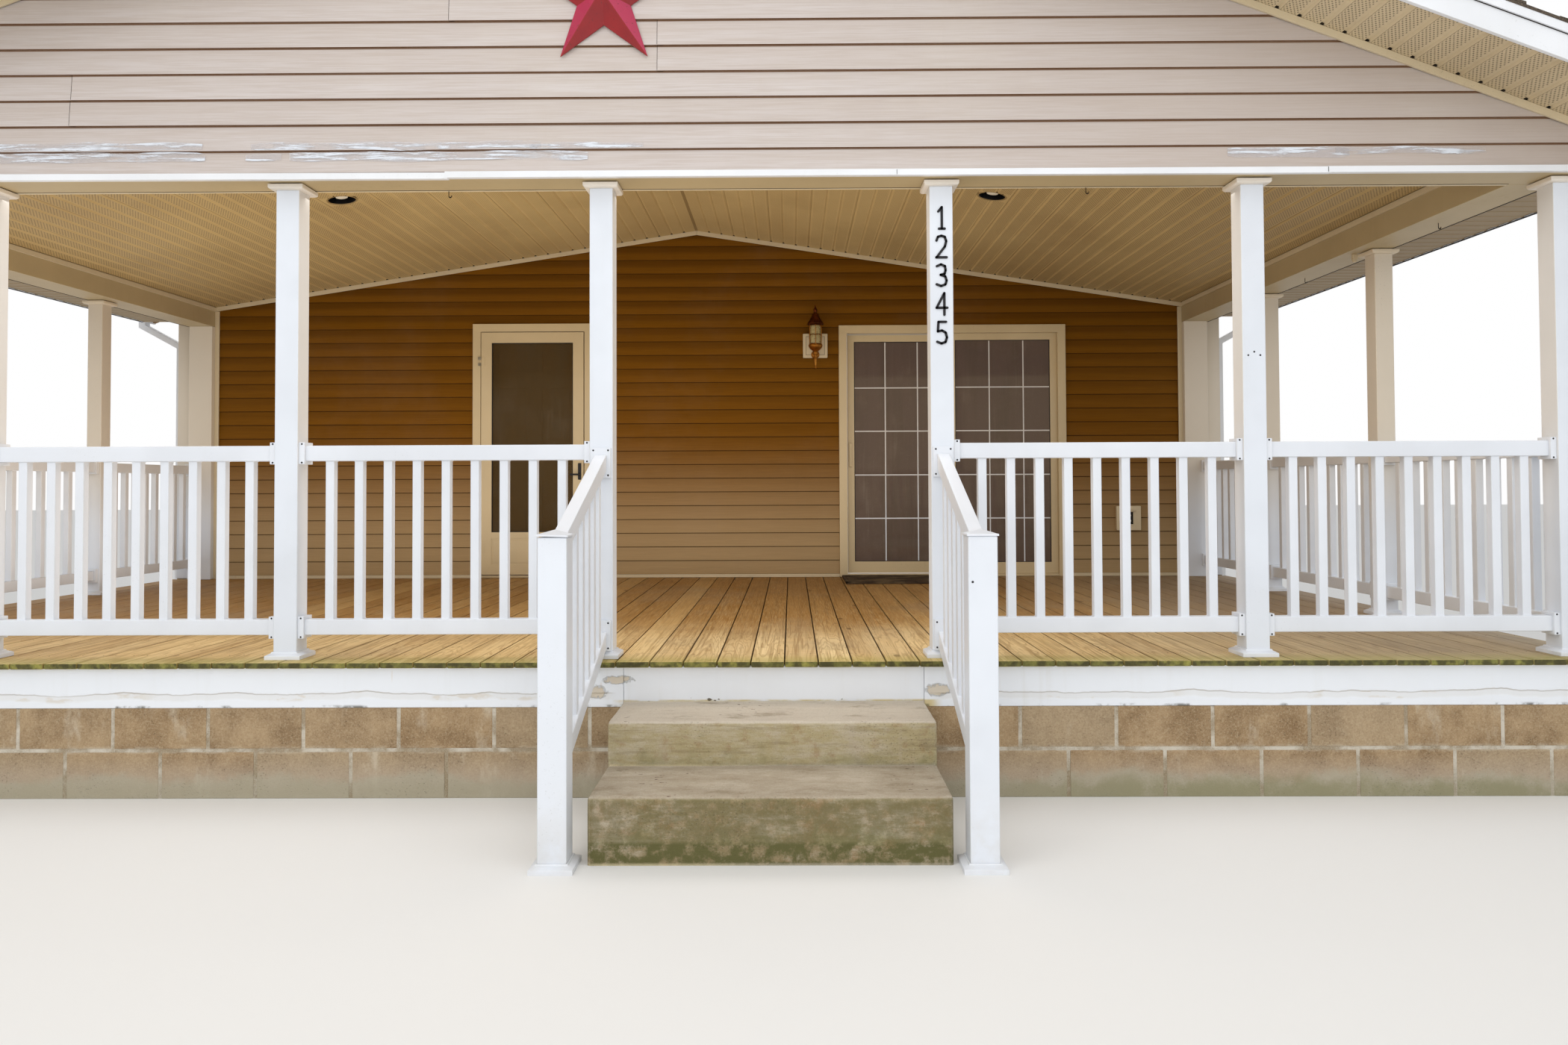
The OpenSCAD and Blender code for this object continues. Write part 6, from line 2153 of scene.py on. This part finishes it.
@dataclass
class Studio:
    """Pale floor, white surround, soft lights and the camera."""

    place: tuple[float, float, float] = (0.7688, -6.128, 1.3154)
    yaw: float = 0.007
    pitch: float = 0.0227
    roll: float = -0.0041
    lens: float = 24.0
    drop: float = -0.0381

    def floor(self) -> None:
        """Lays a wide pale floor."""
        mesh = bpy.data.meshes.new("studio_floor")
        r = 60.0
        mesh.from_pydata([(-r, -r, 0), (r, -r, 0), (r, r, 0), (-r, r, 0)], [], [[0, 1, 2, 3]])
        made = bpy.data.objects.new("studio_floor", mesh)
        bpy.context.scene.collection.objects.link(made)
        finish = bpy.data.materials.new("Studio floor")
        finish.use_nodes = True
        shader = finish.node_tree.nodes["Principled BSDF"]
        shader.inputs["Base Color"].default_value = (0.8, 0.79, 0.77, 1.0)
        shader.inputs["Roughness"].default_value = 0.9
        mesh.materials.append(finish)

    def world(self, fill: float) -> None:
        """White to the camera and in reflections, and an even soft light otherwise."""
        world = bpy.data.worlds.new("Studio")
        bpy.context.scene.world = world
        world.use_nodes = True
        world.node_tree.nodes.clear()
        g = Graph(world.node_tree)
        path = g.node("LightPath")
        seen = g.math("MAXIMUM", path.outputs["Is Camera Ray"], path.outputs["Is Transmission Ray"])
        seen = g.math("MAXIMUM", seen, path.outputs["Is Glossy Ray"])
        shown = g.take(0, "Background", {"Color": (1, 1, 1, 1), "Strength": 1.0})
        soft = g.take(0, "Background", {"Color": (0.97, 0.985, 1.0, 1), "Strength": fill})
        g.node("OutputWorld", {"Surface": g.take(0, "MixShader", {0: seen, 1: soft, 2: shown})})

    def light(self, name: str, place, aim, size: tuple[float, float], power: float, colour) -> None:
        """Hangs one soft area light that looks at a point."""
        lamp = bpy.data.lights.new(name, "AREA")
        lamp.shape, lamp.energy, lamp.color = "RECTANGLE", power, colour
        lamp.size, lamp.size_y = size
        made = bpy.data.objects.new(name, lamp)
        made.location = place
        made.rotation_euler = (Vector(aim) - Vector(place)).to_track_quat("-Z", "Y").to_euler()
        made.visible_camera = made.visible_glossy = False
        bpy.context.scene.collection.objects.link(made)

    def camera(self) -> None:
        """Sets the camera where the photo was taken."""
        lens = bpy.data.cameras.new("Camera")
        lens.lens, lens.sensor_width, lens.shift_y = self.lens, 36.0, self.drop
        lens.clip_start, lens.clip_end = 0.05, 200.0
        made = bpy.data.objects.new("Camera", lens)
        made.location = self.place
        turn = Matrix.Rotation(self.yaw, 3, "Z") @ Matrix.Rotation(math.pi / 2 + self.pitch, 3, "X")
        made.rotation_euler = (turn @ Matrix.Rotation(self.roll, 3, "Z")).to_euler()
        bpy.context.scene.collection.objects.link(made)
        bpy.context.scene.camera = made

    def build(self) -> None:
        """Sets up the floor, the light and the camera."""
        self.floor()
        self.world(0.72)
        self.light("Key", (-7.0, -9.5, 8.0), (0.0, 0.0, 1.4), (6.0, 6.0), 195.0, (1.0, 0.985, 0.96))
        self.light("Fill", (8.0, -8.0, 4.5), (0.0, 0.0, 1.4), (6.0, 6.0), 72.0, (0.96, 0.98, 1.0))
        self.light("Low", (0.5, -9.0, 2.3), (0.2, 1.0, 1.2), (5.0, 3.0), 112.0, (1.0, 0.98, 0.95))
        self.light("Sky", (0.6, -4.0, 6.5), (0.6, -2.4, 0.0), (6.0, 2.5), 85.0, (1.0, 0.99, 0.97))
        self.light("Bounce", (-1.1, 0.2, 0.605), (-1.1, 0.2, 3.0), (5.6, 3.2), 62.0, (1.0, 0.97, 0.92))
        self.light("Porch", (0.0, -0.95, 2.6), (0.0, -0.95, 0.0), (7.4, 1.2), 46.0, (1.0, 0.98, 0.95))
        bpy.context.scene.view_settings.view_transform = "Standard"
        self.camera()


def main() -> None:
    """Builds the porch around the frame and sets it in the studio."""
    logging.basicConfig(level=logging.INFO, format="%(name)s %(message)s")
    random.seed(SEED)
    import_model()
    site = Site.read()
    LOG.info("site %s", site)
    for finish, slot, radius, nodes in DRESSED:
        for node in nodes.split():
            dress(node, finish, radius)
    entry_head, slider_head = site.deck + 2.08, site.deck + 2.054
    gable = LapSiding("gable_courses", "gable_siding", Paint.GABLE, "gable_vinyl", site.front + 0.012,
                      site.beam + 0.0115, site.ridge, site.under_roof, foot=site.beam + 0.028,
                      seams={2: -2.339, 3: -2.332, 4: 0.199, 5: 0.199, 6: -0.7})
    wall = LapSiding(
        "wall_courses", "house_siding", Paint.WALL, "wall_vinyl", site.front + site.depth + 0.013,
        site.deck + 0.026, site.ceil_low + site.ceil_rise,
        lambda z: min(site.under_ceiling(z), site.half - CORNER),
        gaps=((-1.837, -0.855, entry_head), (1.16, 3.01, slider_head)), corner=CORNER,
        top_side=site.ceiling(site.half) - 0.002
    )
    assemblies = (Foundation(site), Steps(site), Deck(site), Fixings(site), gable, wall, Ceiling(site),
                  Soffits(site), Roof(site), DripEdges(site), Star(), Digits(), Collars(site), BeamTrim(site),
                  Lantern(site), CeilingLights(site), GlassBars(site), StormDoorTrim(site), DoorMat(site),
                  WallBlocks(site), Tapes(site))
    for assembly in assemblies:
        assembly.build()
    Studio().build()


if __name__ == "__main__":
    main()
